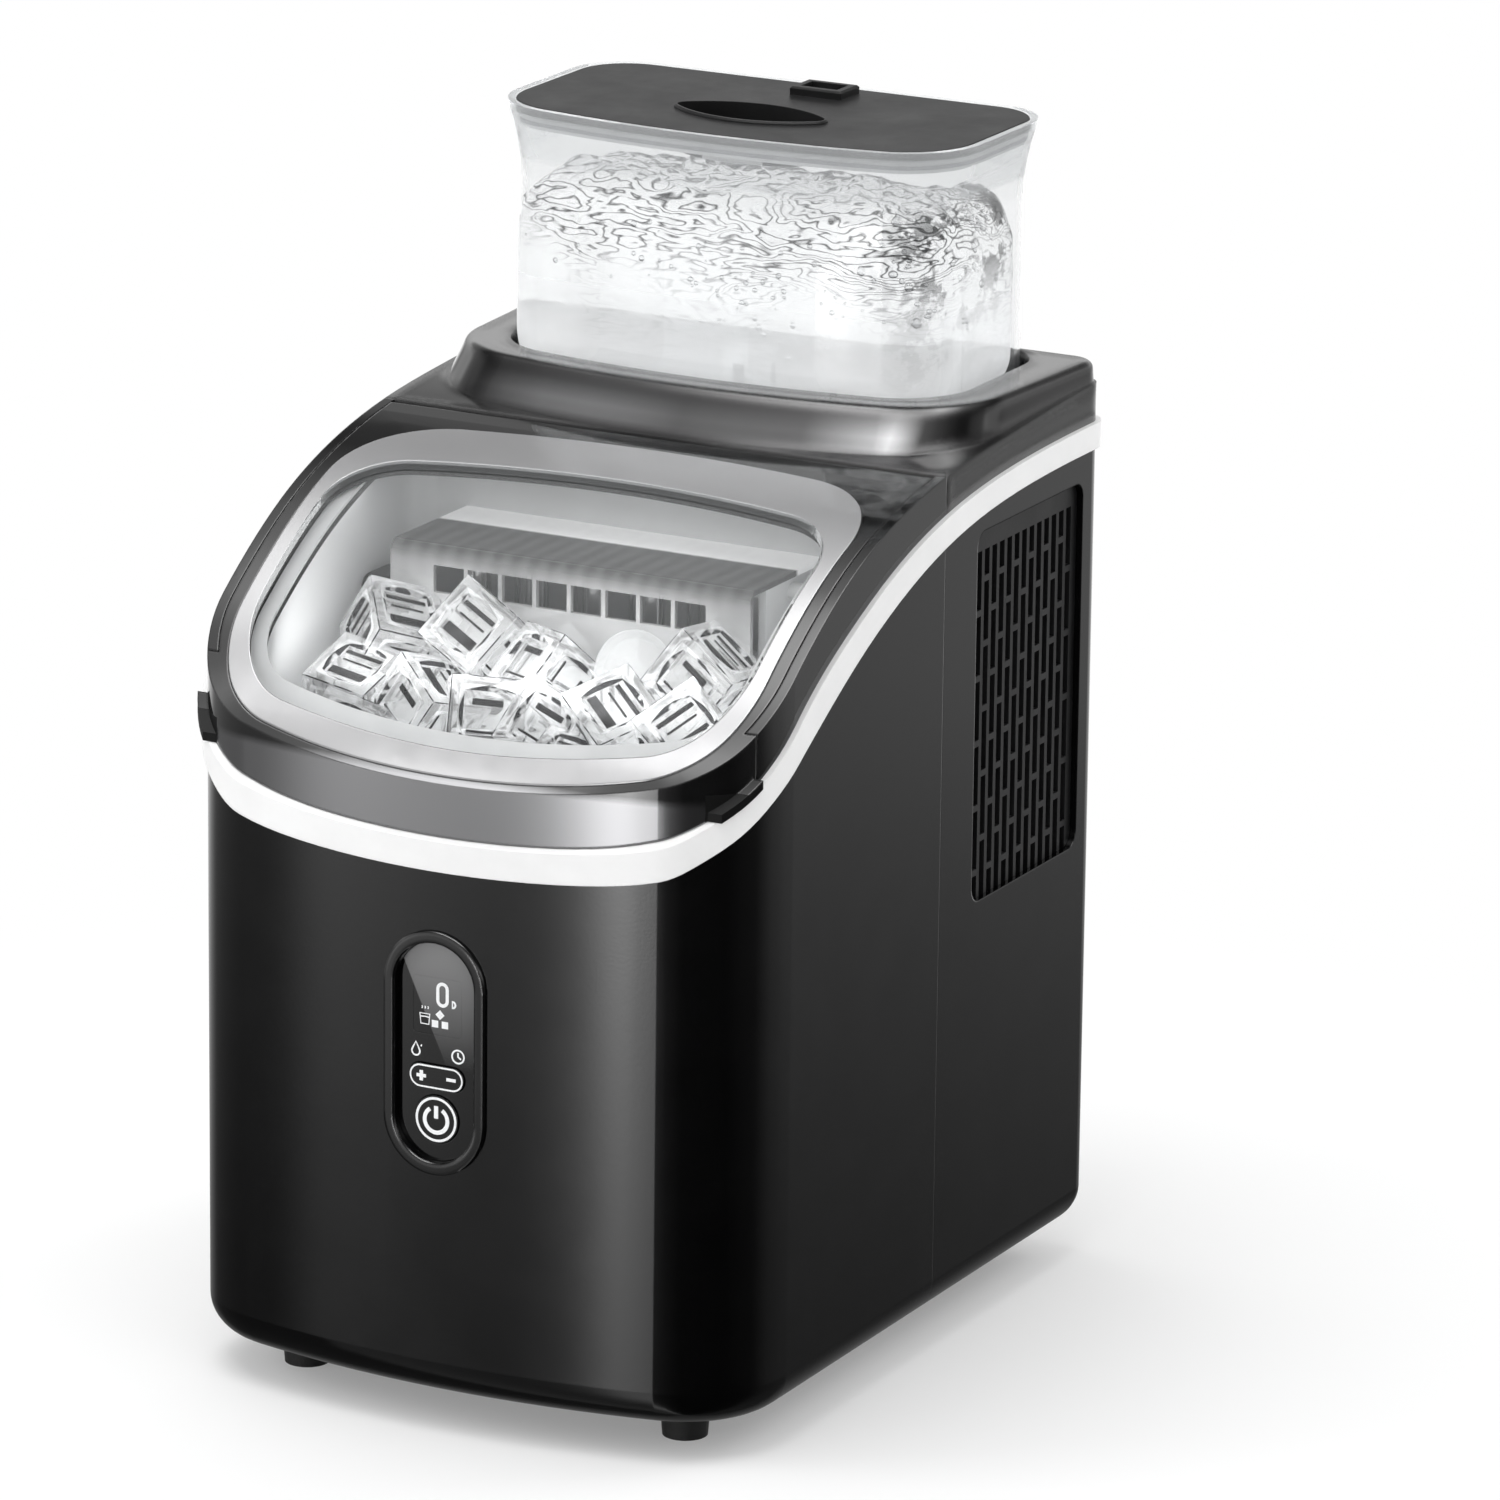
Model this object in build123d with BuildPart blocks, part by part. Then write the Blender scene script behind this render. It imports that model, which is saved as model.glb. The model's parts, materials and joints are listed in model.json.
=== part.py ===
from build123d import *
from math import cos, radians, sin, sqrt
import os

# Countertop ice maker with a lift-off water tank. Millimetres, +Z up, front towards -Y.
# The origin is on the floor, under the middle of the body.

# ---------------------------------------------------------------- driving dimensions
# body
body_width = 230.0
body_depth = 295.0
half_width = body_width / 2
half_depth = body_depth / 2
front_bow = 18.0
front_corner_radius = 41.0
rear_corner_radius = 10.0
foot_height = 12.6
bottom_edge_radius = 14.0
housing_wall = 2.5
seam_from_front = 165.0
seam_y = -half_depth + seam_from_front
lip_reach = 4.0

# trim band that sweeps up from the front to the rear
trim_front_z = 210.0
trim_rear_z = 313.3
trim_proud = 2.0
trim_inner = 3.0

# upper casing
flank_wall = 4.0
flank_setback = 30.5
flank_front_y = -half_depth + flank_setback
ledge_drop = 9.0
ledge_thickness = 2.5
rail_wall = 3.0
deck_wall = 2.5

# lid
lid_gap = 0.4
lid_panel = 3.5
lid_wall = 2.5
inner_frame_thickness = 3.0
hinge_pin_radius = 1.5
hinge_pin_length = 13.0
pin_clearance = 0.05
hinge_barrel_radius = 2.6
hinge_rib_depth = 4.4
ring_side_margin = 9.5
ring_front_margin = 3.0
ring_rear_margin = 13.0
ring_half_width = half_width - ring_side_margin
ring_rear_y = seam_y - ring_rear_margin
ring_front_y = -half_depth + ring_front_margin
ring_front_radius = 37.0
ring_rear_radius = 40.0
ring_side_width = 6.0
ring_front_width = 8.0
ring_rear_width = 26.0
window_half_width = ring_half_width - ring_side_width
window_rear_y = ring_rear_y - ring_rear_width
window_front_y = ring_front_y + ring_front_width
window_front_radius = 34.0
window_rear_radius = 28.0
window_rear_bow = 11.0
ring_thickness = 1.4
window_bead = 1.2

# tank collar and well on the rear deck
collar_top_z = 345.0
collar_front_margin = 14.5
collar_side_margin = 8.0
collar_front_y = seam_y + collar_front_margin
collar_half_width = half_width - collar_side_margin
collar_radius = 40.0
collar_base_spread = 14.5
collar_side_spread = 4.0
well_floor_z = 326.0
well_gap = 3.6

# water tank
tank_side_margin = 25.2
tank_rear_margin = 6.5
tank_depth = 92.0
tank_half_width = half_width - tank_side_margin
tank_rear_y = half_depth - tank_rear_margin
tank_front_y = tank_rear_y - tank_depth
tank_corner_radius = 26.0
tank_wall = 2.2
tank_floor = 2.6
tank_body_top_z = 413.0
tank_rim_height = 19.0
tank_rim_flare = 5.0
tank_lid_thickness = 3.2
tank_lid_margin = 3.0
tank_plug_depth = 5.0
tank_fit = 0.4
recess_half_length = 31.5
recess_half_width = 13.5
recess_depth = 13.0
recess_wall = 1.8
recess_from_rear = 57.0
recess_y = tank_rear_y - recess_from_rear
hood_width = 21.0
hood_length = 15.0
hood_height = 3.2
hood_x = 7.0
hood_from_rear = 12.0
hood_y = tank_rear_y - hood_from_rear

# control panel
panel_z = 142.0
panel_width = 41.0
panel_height = 90.0
panel_rim = 4.6
panel_proud = 1.6
face_recess = 1.8
face_thickness = 2.2
display_width = 19.5
display_height = 21.0
display_z = 158.5
key_width = 22.0
key_height = 9.0
key_z = 132.5
power_radius = 8.75
power_z = 117.0
key_proud = 0.7
key_gap = 0.3
key_depth = 6.0
board_thickness = 1.6

# side grilles
grille_rear_margin = 17.1
grille_span = 86.8
grille_rear_y = half_depth - grille_rear_margin
grille_front_y = grille_rear_y - grille_span
grille_low_z = 163.0
grille_high_z = 302.0
grille_corner = 6.0
grille_plate = 2.0
grille_lap = 4.0
slot_width = 3.9
slot_length = 22.0
slot_pitch_y = 6.1
slot_pitch_z = 24.4
slot_columns = 13

# ice bin and basket
bin_side_margin = 18.0
bin_front_margin = 20.0
bin_rear_margin = 9.5
bin_half_width = half_width - bin_side_margin
bin_front_y = -half_depth + bin_front_margin
bin_rear_y = seam_y - bin_rear_margin
bin_floor_z = 70.0
bin_wall = 2.5
bin_corner = 24.0
basket_side_gap = 7.0
basket_front_gap = 6.5
basket_depth = 61.5
basket_half_width = bin_half_width - basket_side_gap
basket_front_y = bin_front_y + basket_front_gap
basket_rear_y = basket_front_y + basket_depth
basket_floor_z = 110.0
basket_top_z = 230.0
basket_wall = 2.2
basket_corner = 16.0

# ice mechanism
axle_from_bin_rear = 33.0
axle_y = bin_rear_y - axle_from_bin_rear
axle_z = 262.0
axle_radius = 3.0
axle_clearance = 0.08
tray_inner_radius = 18.0
tray_wall = 2.0
tray_half_angle = 66.0
shovel_gap = 1.0
shovel_thickness = 5.0
finger_count = 9
finger_radius = 4.0
finger_low_z = 249.0
manifold_z = 286.0
bracket_side_gap = 27.0
tray_side_gap = 10.0
bracket_x = bin_half_width - bracket_side_gap
tray_half_length = bracket_x - tray_side_gap
bracket_thickness = 3.0

# cooling parts behind the bin
compressor_side_margin = 77.0
compressor_rear_margin = 65.5
compressor_x = -half_width + compressor_side_margin
compressor_y = half_depth - compressor_rear_margin
compressor_radius = 46.0
compressor_height = 118.0
fan_y = (grille_front_y + grille_rear_y) / 2
fan_z = 232.0
fan_radius = 38.0
fan_blades = 7
fan_axle_radius = 2.5

# feet and screws
foot_radius = 9.2
foot_side_margin = 37.3
foot_end_margin = 44.0
foot_x = half_width - foot_side_margin
foot_y = half_depth - foot_end_margin
screw_radius = 1.9
screw_head_radius = 3.6
screw_head_height = 2.4


# ---------------------------------------------------------------- shared forms
bow_radius = (half_width**2 + front_bow**2) / (2 * front_bow)
tank_lid_z = tank_body_top_z + tank_rim_height

# How far the side lines run along the depth, and how high they stand there. Each station is
# (distance from the front, rise of the trim from 0 to 1, trim height, flank height over trim).
stations = (
    (-12.5, -0.050, 11.0, 16.0),
    (0.0, 0.000, 11.0, 19.5),
    (5.5, 0.032, 11.5, 20.0),
    (12.5, 0.110, 11.5, 18.6),
    (22.5, 0.200, 11.0, 18.0),
    (37.5, 0.325, 11.5, 17.8),
    (62.5, 0.486, 14.0, 17.6),
    (92.5, 0.653, 13.0, 18.6),
    (127.5, 0.805, 11.8, 16.7),
    (167.5, 0.920, 10.4, 13.8),
    (217.5, 0.984, 9.6, 12.2),
    (275.0, 1.000, 9.6, 13.8),
    (310.0, 1.000, 9.6, 14.1),
)


laid_out_depth = 295.0


def side_line(trim_share, flank_share, drop=0.0):
    """Points (y, z) of a line along the body's side, from the trim's lower edge upwards."""
    points = []
    for run, rise, trim_height, flank_height in stations:
        base = trim_front_z + rise * (trim_rear_z - trim_front_z)
        z = base + trim_share * trim_height + flank_share * flank_height - drop
        points.append((run * body_depth / laid_out_depth - half_depth, z))
    return points


def under_line(points, low=0.0, width=body_width):
    """Block from height low up to a side line, wider than the body."""
    with BuildPart(mode=Mode.PRIVATE) as block:
        with BuildSketch(Plane.YZ):
            with BuildLine():
                Spline(*points)
                Polyline(points[-1], (points[-1][0], low), (points[0][0], low), points[0])
            make_face()
        extrude(amount=width, both=True)
    return block.part


def bowed_outline(half_x, front_y, rear_y, front_radius, rear_radius, rear_half_x=None, rear_bow=0.0):
    """Face with a bowed front edge, straight sides and rounded corners."""
    rear_x = half_x if rear_half_x is None else rear_half_x
    corner_y = rear_y - rear_bow
    side_y = front_y + bow_radius - sqrt(bow_radius**2 - half_x**2)
    with BuildSketch(mode=Mode.PRIVATE) as outline:
        with BuildLine():
            ThreePointArc((-half_x, side_y), (0, front_y), (half_x, side_y))
            Line((half_x, side_y), (rear_x, corner_y))
            if rear_bow > 0:
                ThreePointArc((rear_x, corner_y), (0, rear_y), (-rear_x, corner_y))
            else:
                Line((rear_x, corner_y), (-rear_x, corner_y))
            Line((-rear_x, corner_y), (-half_x, side_y))
        make_face()
        fillet(outline.vertices().group_by(Axis.Y)[0], front_radius)
        fillet(outline.vertices().group_by(Axis.Y)[-1], rear_radius)
    return outline.sketch


def body_outline(inset):
    return bowed_outline(
        half_width - inset,
        inset - half_depth,
        half_depth - inset,
        front_corner_radius - inset,
        max(rear_corner_radius - inset, 1.0),
    )


def prism(face, low, high, edge_radius=0.0):
    """Upright block with the given outline, its bottom edge rounded."""
    with BuildPart(mode=Mode.PRIVATE) as block:
        with BuildSketch(Plane.XY.offset(low)):
            add(face)
        extrude(amount=high - low)
        if edge_radius > 0:
            fillet(block.faces().sort_by(Axis.Z)[0].edges(), edge_radius)
    return block.part


def body_block(inset, low, high, edge_radius=0.0):
    return prism(body_outline(inset), low, high, edge_radius)


def slab(low_corner, high_corner):
    """Plain block between two opposite corners, used to trim other forms."""
    middle = [(a + b) / 2 for a, b in zip(low_corner, high_corner)]
    size = [b - a for a, b in zip(low_corner, high_corner)]
    with BuildPart(mode=Mode.PRIVATE) as block:
        with Locations(tuple(middle)):
            Box(*size)
    return block.part


def height_on(points, y):
    """Height of a side line at one place along the depth."""
    line = Spline(*points)
    low, high = 0.0, 1.0
    for _ in range(40):
        middle = (low + high) / 2
        if (line @ middle).X < y:
            low = middle
        else:
            high = middle
    return (line @ low).Y


def save(part, name):
    part.label = name
    export_step(part, f"parts/{name}.step")


os.makedirs("parts", exist_ok=True)

# Lines that the outer pieces share: the trim's edges and the crest of the upper casing.
trim_low_line = side_line(0, 0)
trim_high_line = side_line(1, 0)
crest_line = side_line(1, 1)
sky = collar_top_z + 50.0
behind = half_depth + 20.0
beside = half_width + 20.0
under_trim = under_line(trim_low_line)
under_casing = under_line(trim_high_line)
under_crest = under_line(crest_line)


# ---------------------------------------------------------------- base, feet and screws
lip_inset = bottom_edge_radius + lip_reach
base_gap = 0.3
base_flange_inset = lip_inset - 3.0
base_top_z = foot_height + 2 * housing_wall
screw_clearance = 0.1
base_screw_radius = 1.5
base_screw_inset = (lip_inset + base_flange_inset) / 2
base_screw_y = 70.0
base_screws_at = [
    (side * (half_width - base_screw_inset), y)
    for side in (-1, 1)
    for y in (-base_screw_y, 0.0, base_screw_y + 20.0)
]
feet_at = [(side * foot_x, end * foot_y) for side in (-1, 1) for end in (-1, 1)]
foot_screw_top_z = base_top_z + 3.0
rib_height = 3.5
rib_width = 2.0

with BuildPart() as base_tray:
    with BuildSketch(Plane.XY.offset(foot_height)):
        add(body_outline(lip_inset + base_gap))
    extrude(amount=housing_wall)
    with BuildSketch(Plane.XY.offset(foot_height + housing_wall)):
        add(body_outline(base_flange_inset))
    extrude(amount=housing_wall)
    with BuildSketch(Plane.XY.offset(base_top_z)):
        with Locations(*feet_at):
            Circle(foot_radius - 1.5)
    extrude(amount=rib_height)
    with BuildSketch(Plane.XY.offset(base_top_z)):
        for end in (-1, 1):
            with Locations((0, end * foot_y)):
                Rectangle(2 * foot_x, rib_width)
    extrude(amount=rib_height)
    with BuildSketch(Plane.XY):
        with Locations(*feet_at):
            Circle(screw_radius + screw_clearance)
        with Locations(*base_screws_at):
            Circle(base_screw_radius + screw_clearance)
    extrude(amount=sky, mode=Mode.SUBTRACT)
save(base_tray.part, "base_tray")

foot_recess_radius = screw_head_radius + 1.2
foot_recess_depth = 6.0
foot_taper = 1.0

foot_edge = 0.9
screw_edge = 0.8
base_screw_head_radius = 2.8
base_screw_head_height = 1.8
with BuildPart() as feet:
    with BuildSketch(Plane.XZ) as foot_half:
        with BuildLine():
            Polyline(
                (foot_recess_radius, 0),
                (foot_radius - foot_taper, 0),
                (foot_radius, foot_height),
                (screw_radius + screw_clearance, foot_height),
                (screw_radius + screw_clearance, foot_recess_depth),
                (foot_recess_radius, foot_recess_depth),
                (foot_recess_radius, 0),
            )
        make_face()
        chamfer(foot_half.vertices().sort_by(SortBy.DISTANCE)[1:3].sort_by(Axis.X)[-1], foot_edge)
    foot = revolve(axis=Axis.Z, mode=Mode.PRIVATE)
    with Locations(*feet_at):
        add(foot)
save(feet.part, "feet")

with BuildPart() as foot_screws:
    with Locations(*[(x, y, foot_recess_depth - screw_head_height / 2) for x, y in feet_at]):
        Cylinder(screw_head_radius, screw_head_height)
    with Locations(*[(x, y, (foot_recess_depth + foot_screw_top_z) / 2) for x, y in feet_at]):
        Cylinder(screw_radius, foot_screw_top_z - foot_recess_depth)
    chamfer(foot_screws.faces().group_by(Axis.Z)[0].edges(), screw_edge)
save(foot_screws.part, "foot_screws")

with BuildPart() as base_screws:
    with Locations(*[(x, y, foot_height - base_screw_head_height / 2) for x, y in base_screws_at]):
        Cylinder(base_screw_head_radius, base_screw_head_height)
    with Locations(*[(x, y, foot_height + housing_wall) for x, y in base_screws_at]):
        Cylinder(base_screw_radius, 2 * housing_wall)
    chamfer(base_screws.faces().group_by(Axis.Z)[0].edges(), screw_edge)
save(base_screws.part, "base_screws")


# ---------------------------------------------------------------- housings
panel_seat = 2.7
with BuildPart(mode=Mode.PRIVATE) as housing_shell:
    add(body_block(0, foot_height, sky, bottom_edge_radius))
    add(
        body_block(
            housing_wall,
            foot_height + housing_wall,
            sky,
            bottom_edge_radius - housing_wall,
        ),
        mode=Mode.SUBTRACT,
    )
    add(body_block(lip_inset, 0, foot_height + 2 * housing_wall), mode=Mode.SUBTRACT)
    add(under_trim, mode=Mode.INTERSECT)
    with BuildSketch(Plane.XY):
        with Locations(*base_screws_at):
            Circle(base_screw_radius + screw_clearance)
    extrude(amount=foot_height + 2 * housing_wall, mode=Mode.SUBTRACT)

with BuildPart() as front_housing:
    add(housing_shell.part)
    add(slab((-beside, seam_y, 0), (beside, behind, sky)), mode=Mode.SUBTRACT)
    with BuildSketch(Plane.XZ.offset(half_depth - 20)):
        with Locations((0, panel_z)):
            SlotOverall(panel_height - 2 * panel_seat, panel_width - 2 * panel_seat, rotation=90)
    extrude(amount=40, mode=Mode.SUBTRACT)
save(front_housing.part, "front_housing")

grille_y = (grille_front_y + grille_rear_y) / 2
grille_z = (grille_low_z + grille_high_z) / 2
grille_length = grille_rear_y - grille_front_y
grille_height = grille_high_z - grille_low_z
drain_side_margin = 27.0
drain_x = half_width - drain_side_margin
drain_z = 38.0
drain_port_radius = 8.0
inlet_x = -80.0
inlet_z = 42.0
inlet_radius = 8.0

with BuildPart() as rear_housing:
    add(housing_shell.part)
    add(slab((-beside, -behind, 0), (beside, seam_y, sky)), mode=Mode.SUBTRACT)
    with BuildSketch(Plane.YZ):
        with Locations((grille_y, grille_z)):
            RectangleRounded(grille_length, grille_height, grille_corner)
    extrude(amount=beside, both=True, mode=Mode.SUBTRACT)
    with BuildSketch(Plane.XZ.offset(-behind)):
        with Locations((drain_x, drain_z)):
            Circle(drain_port_radius)
        with Locations((inlet_x, inlet_z)):
            Circle(inlet_radius)
    extrude(amount=40, mode=Mode.SUBTRACT)
save(rear_housing.part, "rear_housing")


# ---------------------------------------------------------------- side grilles
slot_area_top_z = grille_high_z - 8.5
slot_bridge = slot_pitch_z - slot_length
slot_rows = 5
grille_face_x = half_width - housing_wall


def grille(side):
    """Slotted plate behind the housing's opening; every other column starts half a slot lower."""
    with BuildPart(mode=Mode.PRIVATE) as plate:
        with BuildSketch(Plane.YZ.offset(grille_face_x - grille_plate)):
            with Locations((grille_y, grille_z)):
                RectangleRounded(
                    grille_length + 2 * grille_lap,
                    grille_height + 2 * grille_lap,
                    grille_corner + grille_lap,
                )
        extrude(amount=grille_plate)
        with BuildSketch(Plane.YZ.offset(grille_face_x - grille_plate)):
            for column in range(slot_columns):
                y = grille_y + (column - (slot_columns - 1) / 2) * slot_pitch_y
                short_end = slot_length / 2 - slot_bridge / 2
                tops = [slot_area_top_z - row * slot_pitch_z for row in range(slot_rows + 1)]
                spans = [(top - slot_length, top) for top in tops]
                if column % 2:
                    spans = [(low - slot_pitch_z / 2, top - slot_pitch_z / 2) for low, top in spans]
                    spans = [(slot_area_top_z - short_end, slot_area_top_z)] + spans[:-1]
                else:
                    last_top = spans[-1][1]
                    spans[-1] = (last_top - short_end, last_top)
                for low, top in spans:
                    with Locations((y, (low + top) / 2)):
                        Rectangle(slot_width, top - low)
        extrude(amount=grille_plate, mode=Mode.SUBTRACT)
    return plate.part if side > 0 else plate.part.mirror(Plane.YZ)


with BuildPart() as right_grille:
    add(grille(1))
save(right_grille.part, "right_grille")

with BuildPart() as left_grille:
    add(grille(-1))
save(left_grille.part, "left_grille")


# ---------------------------------------------------------------- trim band
with BuildPart() as trim_band:
    add(body_block(-trim_proud, trim_front_z - 20, sky))
    add(body_block(trim_inner, trim_front_z - 20, sky), mode=Mode.SUBTRACT)
    add(under_casing, mode=Mode.INTERSECT)
    add(under_trim, mode=Mode.SUBTRACT)
save(trim_band.part, "trim_band")


# ---------------------------------------------------------------- upper casing, front part
def bin_outline(inset):
    return bowed_outline(
        bin_half_width - inset,
        bin_front_y + inset,
        bin_rear_y - inset,
        bin_corner - inset,
        max(bin_corner / 2 - inset, 1.0),
    )


rail_inset = lid_wall + lid_gap
ledge_top_line = side_line(1, 1, ledge_drop)
ledge_low_line = side_line(1, 1, ledge_drop + ledge_thickness)
under_ledge_top = under_line(ledge_top_line)
under_ledge = under_line(ledge_low_line)
hinge_y = seam_y - lid_gap - hinge_barrel_radius
hinge_z = height_on(crest_line, hinge_y) - hinge_barrel_radius
pin_seat_depth = 3.0

with BuildPart(mode=Mode.PRIVATE) as rail_hollow:
    add(body_block(rail_inset + rail_wall, trim_front_z - 5, sky))
    add(under_ledge, mode=Mode.INTERSECT)

with BuildPart(mode=Mode.PRIVATE) as flanks:
    add(body_block(0, trim_front_z, sky))
    add(body_block(flank_wall, trim_front_z - 5, sky + 5), mode=Mode.SUBTRACT)
    add(under_crest, mode=Mode.INTERSECT)
    add(slab((-beside, -behind, 0), (beside, flank_front_y, sky)), mode=Mode.SUBTRACT)

with BuildPart() as front_frame:
    add(body_block(rail_inset, trim_front_z, sky))
    add(under_ledge_top, mode=Mode.INTERSECT)
    add(rail_hollow.part, mode=Mode.SUBTRACT)
    add(prism(bin_outline(bin_wall), trim_front_z - 5, sky), mode=Mode.SUBTRACT)
    add(flanks.part)
    add(under_casing, mode=Mode.SUBTRACT)
    add(slab((-beside, seam_y, 0), (beside, behind, sky)), mode=Mode.SUBTRACT)
    with BuildSketch(Plane.YZ):
        with Locations((hinge_y, hinge_z)):
            Circle(hinge_pin_radius + 0.02)
    extrude(amount=half_width - flank_wall + pin_seat_depth, both=True, mode=Mode.SUBTRACT)
save(front_frame.part, "front_frame")

seal_gap = 1.2
with BuildPart() as bin_seal:
    add(prism(bin_outline(-3.5), trim_front_z, sky))
    add(prism(bin_outline(bin_wall), trim_front_z - 5, sky + 5), mode=Mode.SUBTRACT)
    add(under_line(side_line(1, 1, ledge_drop - seal_gap)), mode=Mode.INTERSECT)
    add(under_ledge_top, mode=Mode.SUBTRACT)
save(bin_seal.part, "bin_seal")


# ---------------------------------------------------------------- rear deck with collar and well
def collar_outline(inset, base=0.0):
    """Collar round the tank; base=1 gives the wider outline that it grows from."""
    return bowed_outline(
        collar_half_width + base * collar_side_spread - inset,
        collar_front_y - base * collar_base_spread + inset,
        half_depth - inset,
        collar_radius - inset,
        max(rear_corner_radius - inset, 1.0),
        half_width - 1.0 + base - inset,
    )


def tank_outline(outset):
    return bowed_outline(
        tank_half_width + outset,
        tank_front_y - outset,
        tank_rear_y + outset,
        tank_corner_radius + outset,
        tank_corner_radius * 0.7 + outset,
    )


collar_base_z = height_on(crest_line, seam_y) - 1.0
well_bottom_z = well_floor_z - deck_wall
valve_y = (tank_front_y + tank_rear_y) / 2
sump_radius = 15.0
sump_depth = 20.0
post_radius = 2.5


def collar_form(inset, low, high):
    with BuildPart(mode=Mode.PRIVATE) as form:
        with BuildSketch(Plane.XY.offset(low)):
            add(collar_outline(inset, 1.0))
        with BuildSketch(Plane.XY.offset(high)):
            add(collar_outline(inset))
        loft(ruled=True)
    return form.part


with BuildPart(mode=Mode.PRIVATE) as collar:
    add(collar_form(0, collar_base_z, collar_top_z))
    fillet(collar.faces().sort_by(Axis.Z)[-1].edges(), 3.0)

with BuildPart(mode=Mode.PRIVATE) as deck_hollow:
    add(body_block(deck_wall, trim_rear_z - 60, sky))
    add(under_line(side_line(1, 1, deck_wall)), mode=Mode.INTERSECT)
    add(slab((-beside, -behind, 0), (beside, seam_y + deck_wall, sky)), mode=Mode.SUBTRACT)
    add(collar_form(2 * deck_wall, collar_base_z - 1, collar_top_z - deck_wall))
    add(prism(tank_outline(well_gap + deck_wall), trim_rear_z - 60, sky), mode=Mode.SUBTRACT)

with BuildPart() as rear_deck:
    add(body_block(0, trim_rear_z - 20, sky))
    add(under_crest, mode=Mode.INTERSECT)
    add(slab((-beside, -behind, 0), (beside, seam_y, sky)), mode=Mode.SUBTRACT)
    add(collar.part)
    add(under_casing, mode=Mode.SUBTRACT)
    add(deck_hollow.part, mode=Mode.SUBTRACT)
    add(prism(tank_outline(well_gap + deck_wall), trim_rear_z - 60, well_bottom_z), mode=Mode.SUBTRACT)
    add(prism(tank_outline(well_gap), well_floor_z, sky), mode=Mode.SUBTRACT)
    with BuildSketch(Plane.XY.offset(well_floor_z - sump_depth)):
        with Locations((0, valve_y)):
            Circle(sump_radius + deck_wall)
    extrude(amount=sump_depth)
    with BuildSketch(Plane.XY.offset(well_floor_z - sump_depth + deck_wall)):
        with Locations((0, valve_y)):
            Circle(sump_radius)
    extrude(amount=sump_depth, mode=Mode.SUBTRACT)
    with BuildSketch(Plane.XY.offset(well_floor_z - sump_depth)):
        with Locations((0, valve_y)):
            Circle(post_radius)
    extrude(amount=sump_depth - 8.0)
save(rear_deck.part, "rear_deck")


# ---------------------------------------------------------------- lid
lid_rear_y = seam_y - lid_gap
lid_side_inset = flank_wall + lid_gap
lid_front_rear_y = flank_front_y - lid_gap
window_flange = 4.0
window_flange_thickness = 1.5
ring_seat_depth = ring_thickness - 0.4
inner_frame_drop = lid_panel + inner_frame_thickness
finger_lip_reach = 3.6
finger_lip_height = 3.2
finger_lip_low_y = -half_depth + 16.5
finger_lip_high_y = flank_front_y - 1.5
window_fit = 0.3


def window_outline(outset):
    return bowed_outline(
        window_half_width + outset,
        window_front_y - outset,
        window_rear_y + outset,
        window_front_radius + outset,
        window_rear_radius + outset,
        rear_bow=window_rear_bow,
    )


def ring_outline(outset):
    return bowed_outline(
        ring_half_width + outset,
        ring_front_y - outset,
        ring_rear_y + outset,
        ring_front_radius + outset,
        ring_rear_radius + outset,
        rear_bow=window_rear_bow,
    )


with BuildPart(mode=Mode.PRIVATE) as lid_front_plan:
    add(body_block(0, trim_front_z - 20, sky))
    add(slab((-beside, lid_front_rear_y, 0), (beside, behind, sky)), mode=Mode.SUBTRACT)

with BuildPart(mode=Mode.PRIVATE) as lid_plan:
    add(body_block(lid_side_inset, trim_front_z - 20, sky))
    add(slab((-beside, lid_rear_y, 0), (beside, behind, sky)), mode=Mode.SUBTRACT)
    add(lid_front_plan.part)

under_panel = under_line(side_line(1, 1, lid_panel))
with BuildPart(mode=Mode.PRIVATE) as skirt_hollow:
    add(body_block(lid_wall, trim_front_z - 30, sky))
    add(under_panel, mode=Mode.INTERSECT)

with BuildPart(mode=Mode.PRIVATE) as side_hollow:
    add(slab((-beside, lid_front_rear_y, 0), (beside, behind, sky)))
    add(under_panel, mode=Mode.INTERSECT)

with BuildPart(mode=Mode.PRIVATE) as hinge_rib:
    with BuildSketch(Plane.YZ):
        with BuildLine():
            Polyline(
                (lid_rear_y, hinge_z),
                (lid_rear_y, hinge_z - hinge_rib_depth),
                (lid_rear_y - 2 * hinge_barrel_radius - 1.4, hinge_z - hinge_rib_depth),
                (lid_rear_y - 2 * hinge_barrel_radius - 6, hinge_z + hinge_barrel_radius),
                (lid_rear_y, hinge_z + hinge_barrel_radius),
                (lid_rear_y, hinge_z),
            )
        make_face()
    extrude(amount=half_width - lid_side_inset, both=True)
    add(under_crest, mode=Mode.INTERSECT)

with BuildPart(mode=Mode.PRIVATE) as finger_lips:
    add(body_block(-finger_lip_reach, trim_front_z, sky))
    add(body_block(lid_wall / 2, trim_front_z - 5, sky + 5), mode=Mode.SUBTRACT)
    add(under_line(side_line(1, 0, -lid_gap - finger_lip_height)), mode=Mode.INTERSECT)
    add(under_line(side_line(1, 0, -lid_gap)), mode=Mode.SUBTRACT)
    add(slab((-beside, finger_lip_high_y, 0), (beside, behind, sky)), mode=Mode.SUBTRACT)
    add(slab((-beside, -behind, 0), (beside, finger_lip_low_y, sky)), mode=Mode.SUBTRACT)

with BuildPart(mode=Mode.PRIVATE) as barrel_corner:
    add(slab((-beside, hinge_y, hinge_z), (beside, seam_y, sky)))
    with BuildSketch(Plane.YZ):
        with Locations((hinge_y, hinge_z)):
            Circle(hinge_barrel_radius)
    extrude(amount=beside, both=True, mode=Mode.SUBTRACT)

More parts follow.
